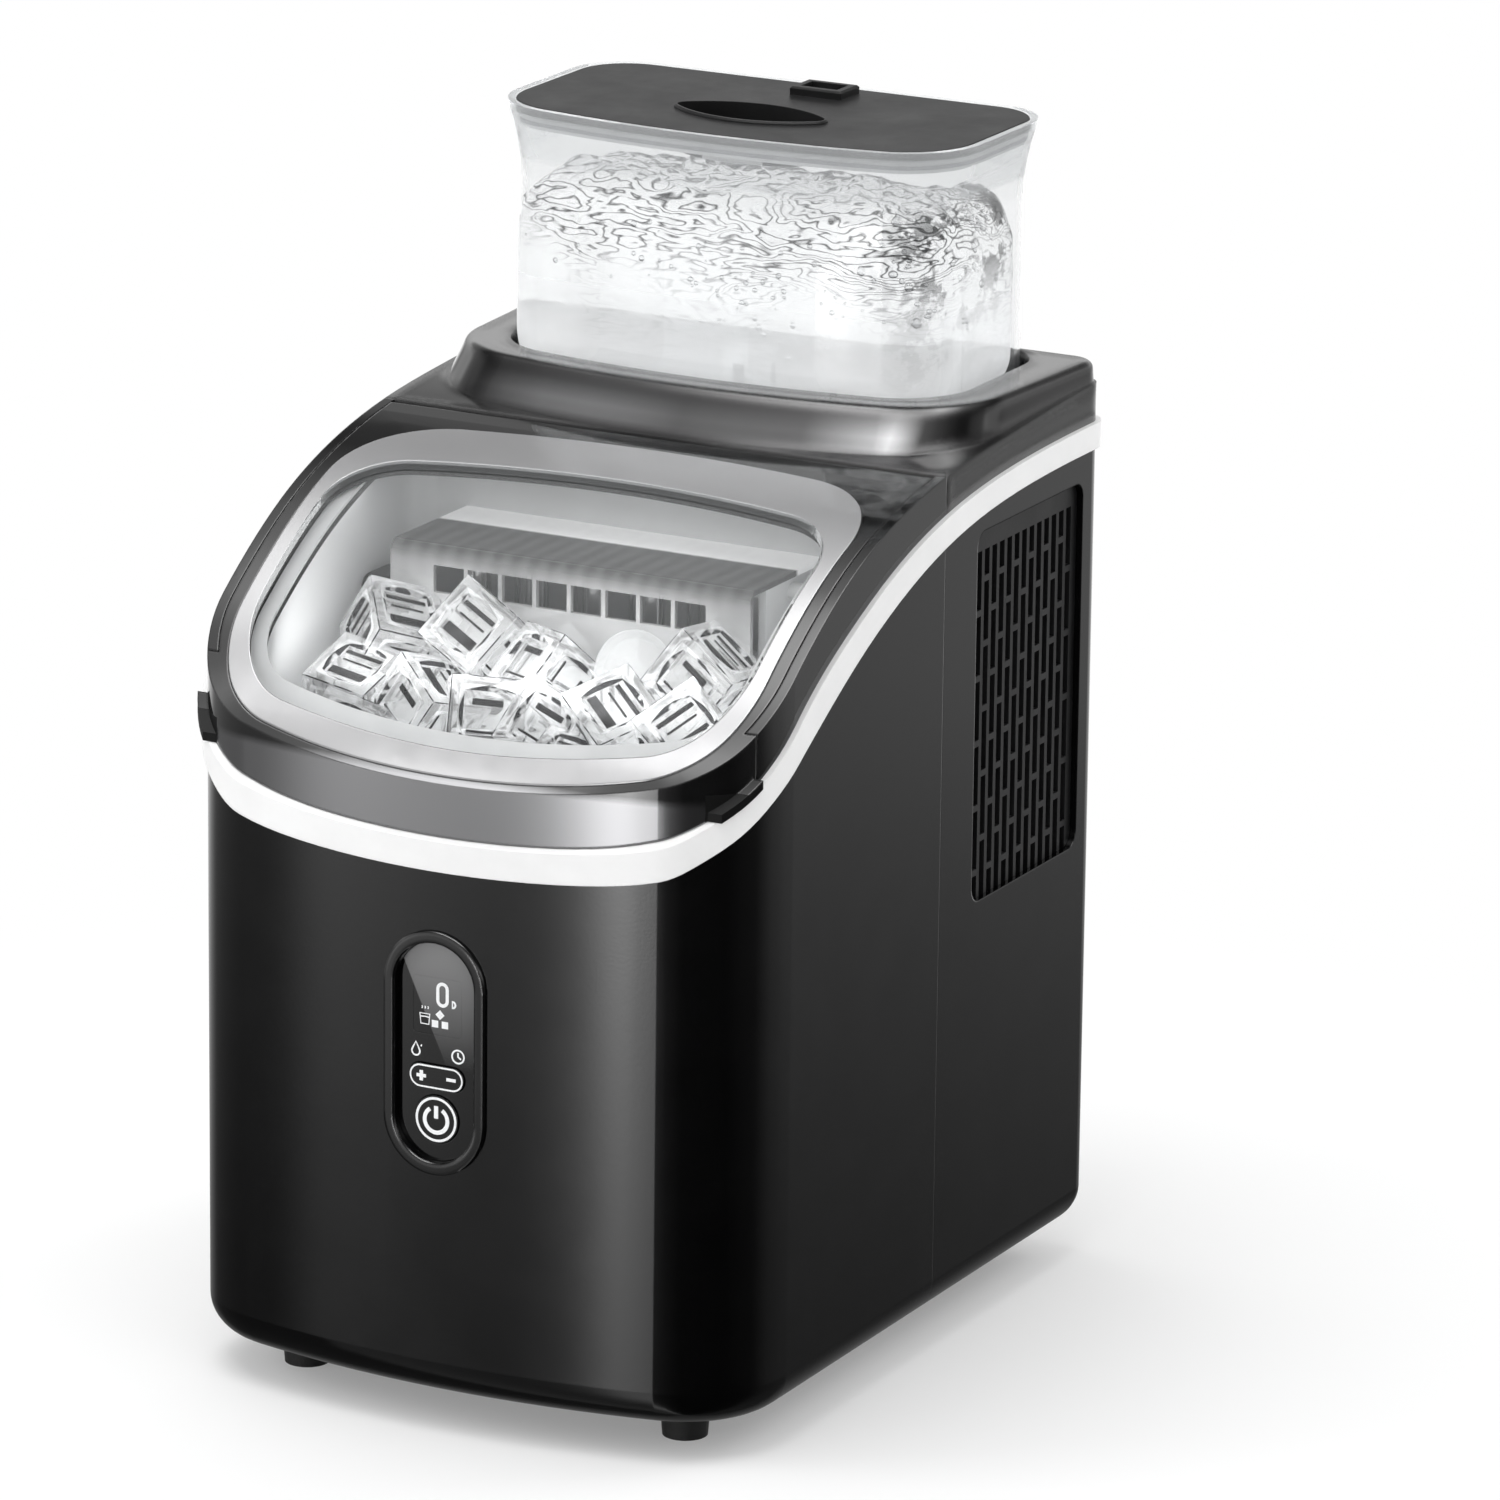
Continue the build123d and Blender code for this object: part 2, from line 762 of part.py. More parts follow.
with BuildPart(mode=Mode.PRIVATE) as ring_seat:
    add(prism(ring_outline(0.2), trim_front_z - 5, sky))
    add(under_line(side_line(1, 1, ring_seat_depth)), mode=Mode.SUBTRACT)

with BuildPart() as lid_frame:
    add(lid_plan.part)
    add(under_crest, mode=Mode.INTERSECT)
    add(skirt_hollow.part, mode=Mode.SUBTRACT)
    add(side_hollow.part, mode=Mode.SUBTRACT)
    add(under_line(side_line(1, 0, -lid_gap)), mode=Mode.SUBTRACT)
    add(prism(window_outline(window_fit), trim_front_z - 5, sky), mode=Mode.SUBTRACT)
    add(hinge_rib.part)
    add(finger_lips.part)
    with BuildSketch(Plane.YZ):
        with Locations((hinge_y, hinge_z)):
            Circle(hinge_pin_radius + pin_clearance)
    extrude(amount=half_width, both=True, mode=Mode.SUBTRACT)
    add(barrel_corner.part, mode=Mode.SUBTRACT)
    add(ring_seat.part, mode=Mode.SUBTRACT)
save(lid_frame.part, "lid_frame")

with BuildPart() as window_ring:
    add(prism(ring_outline(0), trim_front_z - 5, sky))
    add(prism(window_outline(window_fit), trim_front_z - 10, sky + 5), mode=Mode.SUBTRACT)
    add(under_line(side_line(1, 1, ring_seat_depth - ring_thickness)), mode=Mode.INTERSECT)
    add(under_line(side_line(1, 1, ring_seat_depth)), mode=Mode.SUBTRACT)
save(window_ring.part, "window_ring")

under_flange = under_line(side_line(1, 1, lid_panel + window_flange_thickness))
with BuildPart(mode=Mode.PRIVATE) as window_edge:
    add(prism(window_outline(window_flange), trim_front_z - 5, sky))
    add(under_panel, mode=Mode.INTERSECT)
    add(under_flange, mode=Mode.SUBTRACT)

with BuildPart() as lid_window:
    add(prism(window_outline(0), trim_front_z - 5, sky))
    add(under_line(side_line(1, 1, -window_bead)), mode=Mode.INTERSECT)
    add(under_panel, mode=Mode.SUBTRACT)
    add(window_edge.part)
save(lid_window.part, "lid_window")

inner_frame_side_gap = 1.0
inner_frame_rear_y = lid_rear_y - 2 * hinge_barrel_radius - 7
with BuildPart(mode=Mode.PRIVATE) as edge_room:
    add(prism(window_outline(window_flange + window_fit), trim_front_z - 10, sky + 5))
    add(under_flange, mode=Mode.SUBTRACT)

with BuildPart() as lid_inner_frame:
    add(body_block(lid_side_inset + inner_frame_side_gap, trim_front_z - 5, sky))
    add(slab((-beside, inner_frame_rear_y, 0), (beside, behind, sky)), mode=Mode.SUBTRACT)
    add(under_panel, mode=Mode.INTERSECT)
    add(under_line(side_line(1, 1, inner_frame_drop)), mode=Mode.SUBTRACT)
    add(prism(window_outline(1.0), trim_front_z - 10, sky + 5), mode=Mode.SUBTRACT)
    add(edge_room.part, mode=Mode.SUBTRACT)
save(lid_inner_frame.part, "lid_inner_frame")

pin_middle_x = half_width - flank_wall + pin_seat_depth - hinge_pin_length / 2
with BuildPart() as hinge_pins:
    for side in (-1, 1):
        with Locations((side * pin_middle_x, hinge_y, hinge_z)):
            Cylinder(hinge_pin_radius, hinge_pin_length, rotation=(0, 90, 0))
save(hinge_pins.part, "hinge_pins")


# ---------------------------------------------------------------- water tank
plate_top_z = tank_lid_z + tank_lid_thickness
plate_outset = tank_rim_flare - tank_lid_margin
lid_ledge = 0.8
# The rim opens outwards in a hollow curve: (depth below the rim, share of the flare).
rim_curve = [(28.0, 0.0), (21.0, 0.10), (14.0, 0.32), (7.5, 0.63), (tank_lid_thickness, 0.90), (0.0, 1.0)]


def tank_form(inset, low, edge_radius):
    """Tank body that opens in a curve into a wider rim, up to the given inset from its outside."""
    sections = [
        (plate_top_z - depth, tank_rim_flare * share - inset - (lid_ledge if 0 < inset and 0.8 < share else 0))
        for depth, share in rim_curve
    ]
    with BuildPart(mode=Mode.PRIVATE) as form:
        add(prism(tank_outline(-inset), low, sections[0][0], edge_radius))
        for (low_z, low_outset), (high_z, high_outset) in zip(sections, sections[1:]):
            with BuildSketch(Plane.XY.offset(low_z)):
                add(tank_outline(low_outset))
            with BuildSketch(Plane.XY.offset(high_z)):
                add(tank_outline(high_outset))
            loft(ruled=True)
    return form.part


valve_hole_radius = 6.0
valve_neck_radius = 9.5
valve_neck_depth = 7.0
with BuildPart() as water_tank:
    add(tank_form(0, well_floor_z, 5.0))
    with Locations((0, valve_y, well_floor_z - valve_neck_depth / 2)):
        Cylinder(valve_neck_radius, valve_neck_depth)
    add(tank_form(tank_wall, well_floor_z + tank_floor, 0.0), mode=Mode.SUBTRACT)
    add(prism(tank_outline(plate_outset + tank_fit), tank_lid_z, plate_top_z + 5), mode=Mode.SUBTRACT)
    with Locations((0, valve_y, well_floor_z)):
        Cylinder(valve_hole_radius, 4 * valve_neck_depth, mode=Mode.SUBTRACT)
save(water_tank.part, "water_tank")


def lens(outset):
    """Pointed oval for the finger recess."""
    a = recess_half_length + outset
    b = recess_half_width + outset
    with BuildSketch(mode=Mode.PRIVATE) as shape:
        with BuildLine():
            ThreePointArc((-a, recess_y), (0, recess_y - b), (a, recess_y))
            ThreePointArc((a, recess_y), (0, recess_y + b), (-a, recess_y))
        make_face()
        fillet(shape.vertices(), 4.0 + outset)
    return shape.sketch


tank_lid_edge = 0.8
plug_outset = 0.2
plug_wall = 2.0
seal_thickness = 0.6
lip_edge = 0.7
lip_height = 1.2
hood_wall = 3.0
recess_floor_z = plate_top_z - recess_depth
with BuildPart() as tank_lid:
    add(prism(tank_outline(plate_outset), tank_lid_z, plate_top_z))
    fillet(tank_lid.faces().sort_by(Axis.Z)[-1].edges(), tank_lid_edge)
    with BuildSketch(Plane.XY.offset(tank_lid_z)):
        add(tank_outline(plug_outset))
        add(tank_outline(plug_outset - plug_wall), mode=Mode.SUBTRACT)
    extrude(amount=-tank_plug_depth)
    with BuildSketch(Plane.XY.offset(recess_floor_z - recess_wall)):
        add(lens(recess_wall))
    extrude(amount=recess_depth + recess_wall + lip_height)
    chamfer(tank_lid.faces().sort_by(Axis.Z)[-1].edges(), lip_edge)
    with BuildSketch(Plane.XY.offset(recess_floor_z)):
        add(lens(0))
    extrude(amount=2 * recess_depth, mode=Mode.SUBTRACT)
    with Locations((hood_x, hood_y, plate_top_z + hood_height / 2)):
        Box(hood_width, hood_length, hood_height)
    chamfer(tank_lid.faces().sort_by(Axis.Z)[-1].edges(), lip_edge)
    with Locations((hood_x, hood_y, plate_top_z)):
        Box(hood_width - 2 * hood_wall, hood_length - 2 * hood_wall, 4 * hood_height, mode=Mode.SUBTRACT)
save(tank_lid.part, "tank_lid")


# ---------------------------------------------------------------- tank valve
plunger_lift = 3.0
valve_stem_radius = 2.2
plunger_radius = valve_hole_radius + 2.2
plunger_thickness = 2.4
tank_floor_z = well_floor_z + tank_floor
spring_seat_z = tank_floor_z + plunger_lift + plunger_thickness
cage_height = 19.0
cage_radius = plunger_radius + 2.6
cage_wall = 1.6
spring_radius = 4.4
spring_wire = 0.8

with BuildPart() as tank_valve:
    with Locations((0, valve_y, tank_floor_z + plunger_lift + plunger_thickness / 2)):
        Cylinder(plunger_radius, plunger_thickness)
    stem_low = well_floor_z - 8.0
    stem_high = spring_seat_z + 5.0
    with Locations((0, valve_y, (stem_low + stem_high) / 2)):
        Cylinder(valve_stem_radius, stem_high - stem_low)
save(tank_valve.part, "tank_valve")

with BuildPart() as valve_cage:
    with Locations((0, valve_y, tank_floor_z + cage_height / 2)):
        Cylinder(cage_radius, cage_height)
        Cylinder(cage_radius - cage_wall, cage_height, mode=Mode.SUBTRACT)
    with Locations((0, valve_y, tank_floor_z + cage_height - cage_wall / 2)):
        Cylinder(cage_radius, cage_wall)
    with Locations((0, valve_y, tank_floor_z + cage_height / 2 - cage_wall)):
        Box(3 * cage_radius, 5.0, cage_height - 3 * cage_wall, mode=Mode.SUBTRACT)
        Box(5.0, 3 * cage_radius, cage_height - 3 * cage_wall, mode=Mode.SUBTRACT)
save(valve_cage.part, "valve_cage")

spring_top_z = tank_floor_z + cage_height - cage_wall
bellows_length = spring_top_z - spring_seat_z
bellows_folds = 3
bellows_fold_depth = 1.1
with BuildPart() as valve_spring:
    with BuildSketch(Plane.XZ.offset(-valve_y)):
        with BuildLine():
            steps = 2 * bellows_folds
            outer_side = [
                (
                    spring_radius - (bellows_fold_depth if step % 2 else 0.0),
                    spring_seat_z + step * bellows_length / steps,
                )
                for step in range(steps + 1)
            ]
            inner_side = [(radius - spring_wire, z) for radius, z in reversed(outer_side)]
            Polyline(*outer_side, *inner_side, outer_side[0])
        make_face()
    revolve(axis=Axis((0, valve_y, 0), (0, 0, 1)))
save(valve_spring.part, "valve_spring")

with BuildPart() as tank_lid_seal:
    with BuildSketch(Plane.XY.offset(tank_lid_z - tank_plug_depth + 1.5)):
        add(tank_outline(plug_outset + seal_thickness))
        add(tank_outline(plug_outset), mode=Mode.SUBTRACT)
    extrude(amount=1.5)
save(tank_lid_seal.part, "tank_lid_seal")

with BuildPart() as well_seal:
    with BuildSketch(Plane.XY.offset(well_floor_z - 4.0)):
        with Locations((0, valve_y)):
            Circle(sump_radius)
            Circle(valve_neck_radius + 0.4, mode=Mode.SUBTRACT)
    extrude(amount=3.4)
save(well_seal.part, "well_seal")


# ---------------------------------------------------------------- control panel
def pill(width, height, z, upright=True):
    with BuildSketch(mode=Mode.PRIVATE) as shape:
        with Locations((0, z)):
            if upright:
                SlotOverall(height, width, rotation=90)
            else:
                SlotOverall(width, height)
    return shape.sketch


def towards_front(face, reach=60.0):
    """Bar with the given outline that runs to the front, from well inside the body."""
    with BuildPart(mode=Mode.PRIVATE) as bar:
        with BuildSketch(Plane.XZ.offset(half_depth - reach)):
            add(face)
        extrude(amount=2 * reach)
    return bar.part


def front_skin(outer_inset, inner_inset):
    """Layer of the body's front between two insets."""
    low = panel_z - panel_height
    with BuildPart(mode=Mode.PRIVATE) as layer:
        add(body_block(outer_inset, low, low + 2 * panel_height))
        add(body_block(inner_inset, low - 5, low + 2 * panel_height + 5), mode=Mode.SUBTRACT)
        add(slab((-beside, -half_depth / 2, 0), (beside, behind, sky)), mode=Mode.SUBTRACT)
    return layer.part


face_width = panel_width - 2 * panel_rim
face_height = panel_height - 2 * panel_rim
seat_width = panel_width - 2 * panel_seat
seat_height = panel_height - 2 * panel_seat
panel_fit = 0.2
bezel_ledge = 1.6
face_front_inset = face_recess
face_back_inset = face_recess + face_thickness
bezel_opening = towards_front(pill(face_width, face_height, panel_z))
ledge_opening = towards_front(
    pill(face_width - 2 * bezel_ledge, face_height - 2 * bezel_ledge, panel_z)
)

bezel_edge = 1.0
with BuildPart(mode=Mode.PRIVATE) as bezel_flange:
    add(towards_front(pill(panel_width, panel_height, panel_z)))
    add(front_skin(-panel_proud, 0), mode=Mode.INTERSECT)
    add(bezel_opening, mode=Mode.SUBTRACT)
    fillet(bezel_flange.faces().sort_by(Axis.Y)[0].edges(), bezel_edge)

with BuildPart(mode=Mode.PRIVATE) as bezel_neck:
    add(towards_front(pill(seat_width - panel_fit, seat_height - panel_fit, panel_z)))
    add(front_skin(-panel_proud / 2, face_back_inset + bezel_ledge), mode=Mode.INTERSECT)

with BuildPart(mode=Mode.PRIVATE) as bezel_cup:
    add(bezel_opening)
    add(front_skin(-half_depth / 4, face_back_inset), mode=Mode.INTERSECT)

with BuildPart() as control_bezel:
    add(bezel_flange.part)
    add(bezel_neck.part)
    add(bezel_cup.part, mode=Mode.SUBTRACT)
    add(ledge_opening, mode=Mode.SUBTRACT)
save(control_bezel.part, "control_bezel")

power_key_hole = power_radius + key_gap
with BuildPart() as control_face:
    add(towards_front(pill(face_width - panel_fit, face_height - panel_fit, panel_z)))
    add(front_skin(face_front_inset, face_back_inset), mode=Mode.INTERSECT)
    with BuildSketch(Plane.XZ.offset(half_depth - 20)):
        with Locations((0, display_z)):
            RectangleRounded(display_width, display_height, 1.5)
        with Locations((0, key_z)):
            SlotOverall(key_width + 2 * key_gap, key_height + 2 * key_gap)
        with Locations((0, power_z)):
            Circle(power_key_hole)
    extrude(amount=40, mode=Mode.SUBTRACT)
save(control_face.part, "control_face")

with BuildPart() as display_window:
    with BuildSketch(Plane.XZ.offset(half_depth - 20)):
        with Locations((0, display_z)):
            RectangleRounded(display_width, display_height, 1.5)
    extrude(amount=40)
    add(front_skin(face_front_inset, face_back_inset), mode=Mode.INTERSECT)
save(display_window.part, "display_window")

key_front_inset = face_recess - key_proud
key_back_inset = key_front_inset + key_depth
with BuildPart() as power_button:
    with BuildSketch(Plane.XZ.offset(half_depth - 20)):
        with Locations((0, power_z)):
            Circle(power_radius)
    extrude(amount=40)
    add(front_skin(key_front_inset, key_back_inset), mode=Mode.INTERSECT)
save(power_button.part, "power_button")

with BuildPart() as plus_minus_key:
    with BuildSketch(Plane.XZ.offset(half_depth - 20)):
        with Locations((0, key_z)):
            SlotOverall(key_width, key_height)
    extrude(amount=40)
    add(front_skin(key_front_inset, key_back_inset), mode=Mode.INTERSECT)
save(plus_minus_key.part, "plus_minus_key")

board_y = -half_depth + key_back_inset + 2.2
board_width = 27.0
board_height = 72.0
with BuildPart() as display_board:
    with Locations((0, board_y + board_thickness / 2, panel_z)):
        Box(board_width, board_thickness, board_height)
save(display_board.part, "display_board")


# ---------------------------------------------------------------- ice bin and basket
pad_reach = 6.5
pad_height = 5.0
pipe_hole_gap = 0.5
manifold_height = 5.0
manifold_width = 26.0
suction_radius = 2.2
suction_z = manifold_z + manifold_height / 2
hose_radius = 3.6
hose_y = axle_y + 6.0
hose_high_z = manifold_z + 3.0
pump_x = 52.0
pump_y = -62.0
drain_outlet_y = -20.0
bin_floor_radius = 6.0
pad_root = 0.5

with BuildPart() as ice_bin:
    add(prism(bin_outline(0), bin_floor_z, sky, bin_floor_radius))
    add(prism(bin_outline(bin_wall), bin_floor_z + bin_wall, sky + 5), mode=Mode.SUBTRACT)
    for side in (-1, 1):
        with Locations(
            (
                side * (bin_half_width - bin_wall - pad_reach / 2 + pad_root),
                (basket_front_y + basket_rear_y) / 2,
                basket_floor_z - pad_height / 2,
            )
        ):
            Box(pad_reach + 2 * pad_root, basket_rear_y - basket_front_y - 2 * basket_corner, pad_height)
    add(under_ledge, mode=Mode.INTERSECT)
    with BuildSketch(Plane.XY.offset(bin_floor_z)):
        with Locations((pump_x, pump_y), (drain_x, drain_outlet_y)):
            Circle(hose_radius)
    extrude(amount=2 * bin_wall, mode=Mode.SUBTRACT)
    with Locations((compressor_x, bin_rear_y, suction_z)):
        Cylinder(
            suction_radius + pipe_hole_gap,
            4 * bin_wall,
            rotation=(90, 0, 0),
            mode=Mode.SUBTRACT,
        )
    with Locations((bin_half_width, hose_y, hose_high_z)):
        Cylinder(
            hose_radius + pipe_hole_gap,
            4 * bin_wall,
            rotation=(0, 90, 0),
            mode=Mode.SUBTRACT,
        )
save(ice_bin.part, "ice_bin")


def basket_outline(inset):
    return bowed_outline(
        basket_half_width - inset,
        basket_front_y + inset,
        basket_rear_y - inset,
        basket_corner - inset,
        basket_corner - inset,
    )


drain_slot_width = 5.0
drain_slot_count = 11
wall_slot_margin = 22.0
wall_slot_low_z = basket_floor_z + wall_slot_margin
wall_slot_high_z = basket_top_z - wall_slot_margin
basket_floor_radius = 5.0
basket_rim = 2.0
basket_rim_height = 3.0
drain_slot_margin = 14.0
with BuildPart() as ice_basket:
    add(prism(basket_outline(0), basket_floor_z, basket_top_z, basket_floor_radius))
    add(prism(basket_outline(-basket_rim), basket_top_z - basket_rim_height, basket_top_z))
    add(prism(basket_outline(basket_wall), basket_floor_z + basket_wall, sky), mode=Mode.SUBTRACT)
    slot_pitch = 2 * (basket_half_width - 2 * basket_corner) / (drain_slot_count - 1)
    with BuildSketch(Plane.XY.offset(basket_floor_z)):
        with Locations((0, (basket_front_y + basket_rear_y) / 2 + basket_rim)):
            with GridLocations(slot_pitch, 1, drain_slot_count, 1):
                Rectangle(drain_slot_width, basket_depth - 2 * drain_slot_margin)
    extrude(amount=basket_wall, mode=Mode.SUBTRACT)
    with BuildSketch(Plane.XZ.offset(-basket_rear_y)):
        with Locations((0, (wall_slot_low_z + wall_slot_high_z) / 2)):
            with GridLocations(slot_pitch, 1, drain_slot_count, 1):
                Rectangle(drain_slot_width, wall_slot_high_z - wall_slot_low_z)
    extrude(amount=-basket_wall, both=True, mode=Mode.SUBTRACT)
save(ice_basket.part, "ice_basket")


# ---------------------------------------------------------------- ice mechanism
def ring_sector(inner, outer, low_angle, high_angle):
    """Sector in the side view; angles run from straight down towards the front."""
    def at(radius, angle):
        return (
            axle_y - radius * sin(radians(angle)),
            axle_z - radius * cos(radians(angle)),
        )
    middle = (low_angle + high_angle) / 2
    with BuildSketch(mode=Mode.PRIVATE) as shape:
        with BuildLine():
            ThreePointArc(at(outer, low_angle), at(outer, middle), at(outer, high_angle))
            Line(at(outer, high_angle), at(inner, high_angle))
            ThreePointArc(at(inner, high_angle), at(inner, middle), at(inner, low_angle))
            Line(at(inner, low_angle), at(outer, low_angle))
        make_face()
    return shape.sketch


tray_outer = tray_inner_radius + tray_wall
tray_end_wall = 2.0
axle_end_x = bracket_x + bracket_thickness + 4.0
with BuildPart() as water_tray:
    with BuildSketch(Plane.YZ):
        add(ring_sector(tray_inner_radius, tray_outer, -tray_half_angle, tray_half_angle))
    extrude(amount=tray_half_length, both=True)
    for side in (-1, 1):
        with BuildSketch(Plane.YZ.offset(side * tray_half_length)):
            add(ring_sector(0.01, tray_outer, -tray_half_angle, tray_half_angle))
            with Locations((axle_y, axle_z)):
                Circle(axle_radius + 2.5)
        extrude(amount=-side * tray_end_wall)
        with BuildSketch(Plane.YZ.offset(side * (tray_half_length - tray_end_wall))):
            with Locations((axle_y, axle_z)):
                Circle(axle_radius)
        extrude(amount=side * (axle_end_x - tray_half_length + tray_end_wall))
save(water_tray.part, "water_tray")

shovel_inner = tray_outer + shovel_gap
shovel_outer = shovel_inner + shovel_thickness
shovel_low_angle = 10.0
shovel_high_angle = 30.0
arm_x = tray_half_length + 3.0
arm_thickness = 3.0
tooth_width = 8.0
with BuildPart() as ice_shovel:
    for side in (-1, 1):
        with BuildSketch(Plane.YZ.offset(side * arm_x)):
            add(ring_sector(0.01, shovel_outer, shovel_low_angle, shovel_high_angle))
            with Locations((axle_y, axle_z)):
                Circle(axle_radius + 3.0)
                Circle(axle_radius + axle_clearance, mode=Mode.SUBTRACT)
        extrude(amount=side * arm_thickness)
    with BuildSketch(Plane.YZ):
        add(ring_sector(shovel_inner, shovel_inner + 2.0, shovel_low_angle, shovel_high_angle))
    extrude(amount=arm_x + arm_thickness / 2, both=True)
    for tooth in range(9):
        with BuildSketch(Plane.YZ.offset((tooth - 4) * 2 * tooth_width * 0.85 - tooth_width / 2)):
            add(ring_sector(shovel_inner, shovel_outer, shovel_low_angle, shovel_high_angle))
        extrude(amount=tooth_width)
save(ice_shovel.part, "ice_shovel")

bracket_low_z = axle_z - shovel_outer - 8.0
bracket_high_z = manifold_z + manifold_height + bracket_thickness
bracket_front_y = axle_y - 14.0
with BuildPart() as mechanism_bracket:
    for side in (-1, 1):
        with BuildSketch(Plane.YZ.offset(side * bracket_x)):
            with BuildLine():
                Polyline(
                    (bracket_front_y, bracket_low_z + 8),
                    (bin_rear_y - bin_wall, bracket_low_z + 8),
                    (bin_rear_y - bin_wall, bracket_high_z),
                    (bracket_front_y, bracket_high_z),
                    (bracket_front_y, bracket_low_z + 8),
                )
            make_face()
            with Locations((axle_y, axle_z)):
                Circle(axle_radius + axle_clearance, mode=Mode.SUBTRACT)
        extrude(amount=side * bracket_thickness)
    with BuildSketch(Plane.XY.offset(bracket_high_z - bracket_thickness)):
        with Locations((0, (bracket_front_y + bin_rear_y - bin_wall) / 2)):
            Rectangle(2 * bracket_x, bin_rear_y - bin_wall - bracket_front_y)
    extrude(amount=bracket_thickness)
save(mechanism_bracket.part, "mechanism_bracket")

manifold_half = tray_half_length - 6.0
finger_offset = 6.0
finger_tip = 2.0
with BuildPart() as evaporator:
    with Locations((0, axle_y, manifold_z + manifold_height / 2)):
        Box(2 * manifold_half, manifold_width, manifold_height)
    with BuildSketch(Plane.XY.offset(finger_low_z)):
        for finger in range(finger_count):
            x = (finger - (finger_count - 1) / 2) * (2 * manifold_half - 14) / (finger_count - 1)
            y = axle_y + (finger_offset if finger % 2 else -finger_offset)
            with Locations((x, y)):
                Circle(finger_radius)
    extrude(amount=manifold_z - finger_low_z)
    chamfer(evaporator.faces().group_by(Axis.Z)[0].edges(), finger_tip)
save(evaporator.part, "evaporator")

chute_inner = shovel_outer + 1.5
chute_wall = 2.0
chute_half = bracket_x
chute_lip_y = basket_rear_y + 2.5
chute_low_z = axle_z - chute_inner
with BuildPart() as ice_chute:
    with BuildSketch(Plane.YZ):
        add(ring_sector(chute_inner, chute_inner + chute_wall, -60, 0))
        with BuildLine():
            Polyline(
                (axle_y, chute_low_z),
                (axle_y, chute_low_z - chute_wall),
                (chute_lip_y, chute_low_z - chute_wall - 1.0),
                (chute_lip_y, chute_low_z - 1.0),
                (axle_y, chute_low_z),
            )
        make_face()
    extrude(amount=chute_half, both=True)
    for side in (-1, 1):
        with BuildSketch(Plane.YZ.offset(side * chute_half)):
            with BuildLine():
                Polyline(
                    (chute_lip_y, chute_low_z - chute_wall - 1.0),
                    (bin_rear_y - bin_wall, chute_low_z - chute_wall - 1.0),
                    (bin_rear_y - bin_wall, bracket_low_z + 8),
                    (chute_lip_y, bracket_low_z + 8),
                    (chute_lip_y, chute_low_z - chute_wall - 1.0),
                )
            make_face()
        extrude(amount=side * bracket_thickness)
save(ice_chute.part, "ice_chute")

cover_reach = 12.0
cover_y = bracket_front_y - cover_reach
cover_wall = 2.0
cover_low_z = axle_z - 6.0
cover_slope = 3.0
cover_slots = 8
cover_slot_pitch = 14.0
cover_slot_width = 12.4
cover_slot_height = 10.0
cover_slot_z = bracket_high_z - 10.0
cover_rear_y = bin_rear_y - bin_wall
with BuildPart() as evaporator_cover:
    with BuildSketch(Plane.YZ):
        with BuildLine():
            Polyline(
                (cover_y, cover_low_z),
                (cover_y, bracket_high_z + cover_wall - cover_slope),
                (cover_y + cover_slope, bracket_high_z + cover_wall),
                (cover_rear_y, bracket_high_z + cover_wall),
                (cover_rear_y, bracket_high_z),
                (cover_y + cover_slope, bracket_high_z),
                (cover_y + cover_wall, bracket_high_z - cover_slope + cover_wall / 2),
                (cover_y + cover_wall, cover_low_z),
                (cover_y, cover_low_z),
            )
        make_face()
    extrude(amount=bracket_x + bracket_thickness, both=True)
    with BuildSketch(Plane.XZ.offset(-cover_y)):
        with Locations((0, cover_slot_z)):
            with GridLocations(cover_slot_pitch, 1, cover_slots, 1):
                Rectangle(cover_slot_width, cover_slot_height)
    extrude(amount=-cover_wall, mode=Mode.SUBTRACT)
save(evaporator_cover.part, "evaporator_cover")

motor_depth = bin_half_width - bin_wall - bracket_x - bracket_thickness - 2.0
with BuildPart() as tray_motor:
    with BuildSketch(Plane.YZ.offset(-bracket_x - bracket_thickness)):
        with Locations((axle_y, axle_z)):
            RectangleRounded(26.0, 30.0, 5.0)
            Circle(axle_radius + axle_clearance, mode=Mode.SUBTRACT)
    extrude(amount=-motor_depth)
save(tray_motor.part, "tray_motor")


# ---------------------------------------------------------------- cooling parts
grommet_height = 6.0
compressor_low_z = base_top_z + grommet_height
plate_thickness = 3.0
plate_half = compressor_radius + 3.0
grommet_radius = 6.5
grommets_at = [
    (compressor_x + side * (plate_half - 6), compressor_y + end * (plate_half - 6))
    for side in (-1, 1)
    for end in (-1, 1)
]
can_low_z = compressor_low_z + plate_thickness
dome_height = 12.0
dome_reach = 22.0
weld_reach = 4.0
weld_height = 8.0
grommet_hole_radius = 2.2
with BuildPart() as compressor:
    with BuildSketch(Plane.XY.offset(compressor_low_z)):
        with Locations((compressor_x, compressor_y)):
            RectangleRounded(2 * plate_half, 2 * plate_half, grommet_radius)
    extrude(amount=plate_thickness)
    with BuildSketch(Plane.XY.offset(can_low_z)):
        with Locations((compressor_x, compressor_y)):
            Circle(compressor_radius - weld_reach)
    extrude(amount=compressor_height)
    chamfer(compressor.faces().sort_by(Axis.Z)[-1].edges(), dome_height, dome_reach)
    with Locations((compressor_x, compressor_y, can_low_z + compressor_height / 2)):
        Cylinder(compressor_radius, weld_height)
    with BuildSketch(Plane.XY.offset(compressor_low_z)):
        with Locations(*grommets_at):
            Circle(grommet_hole_radius)
    extrude(amount=plate_thickness, mode=Mode.SUBTRACT)
save(compressor.part, "compressor")

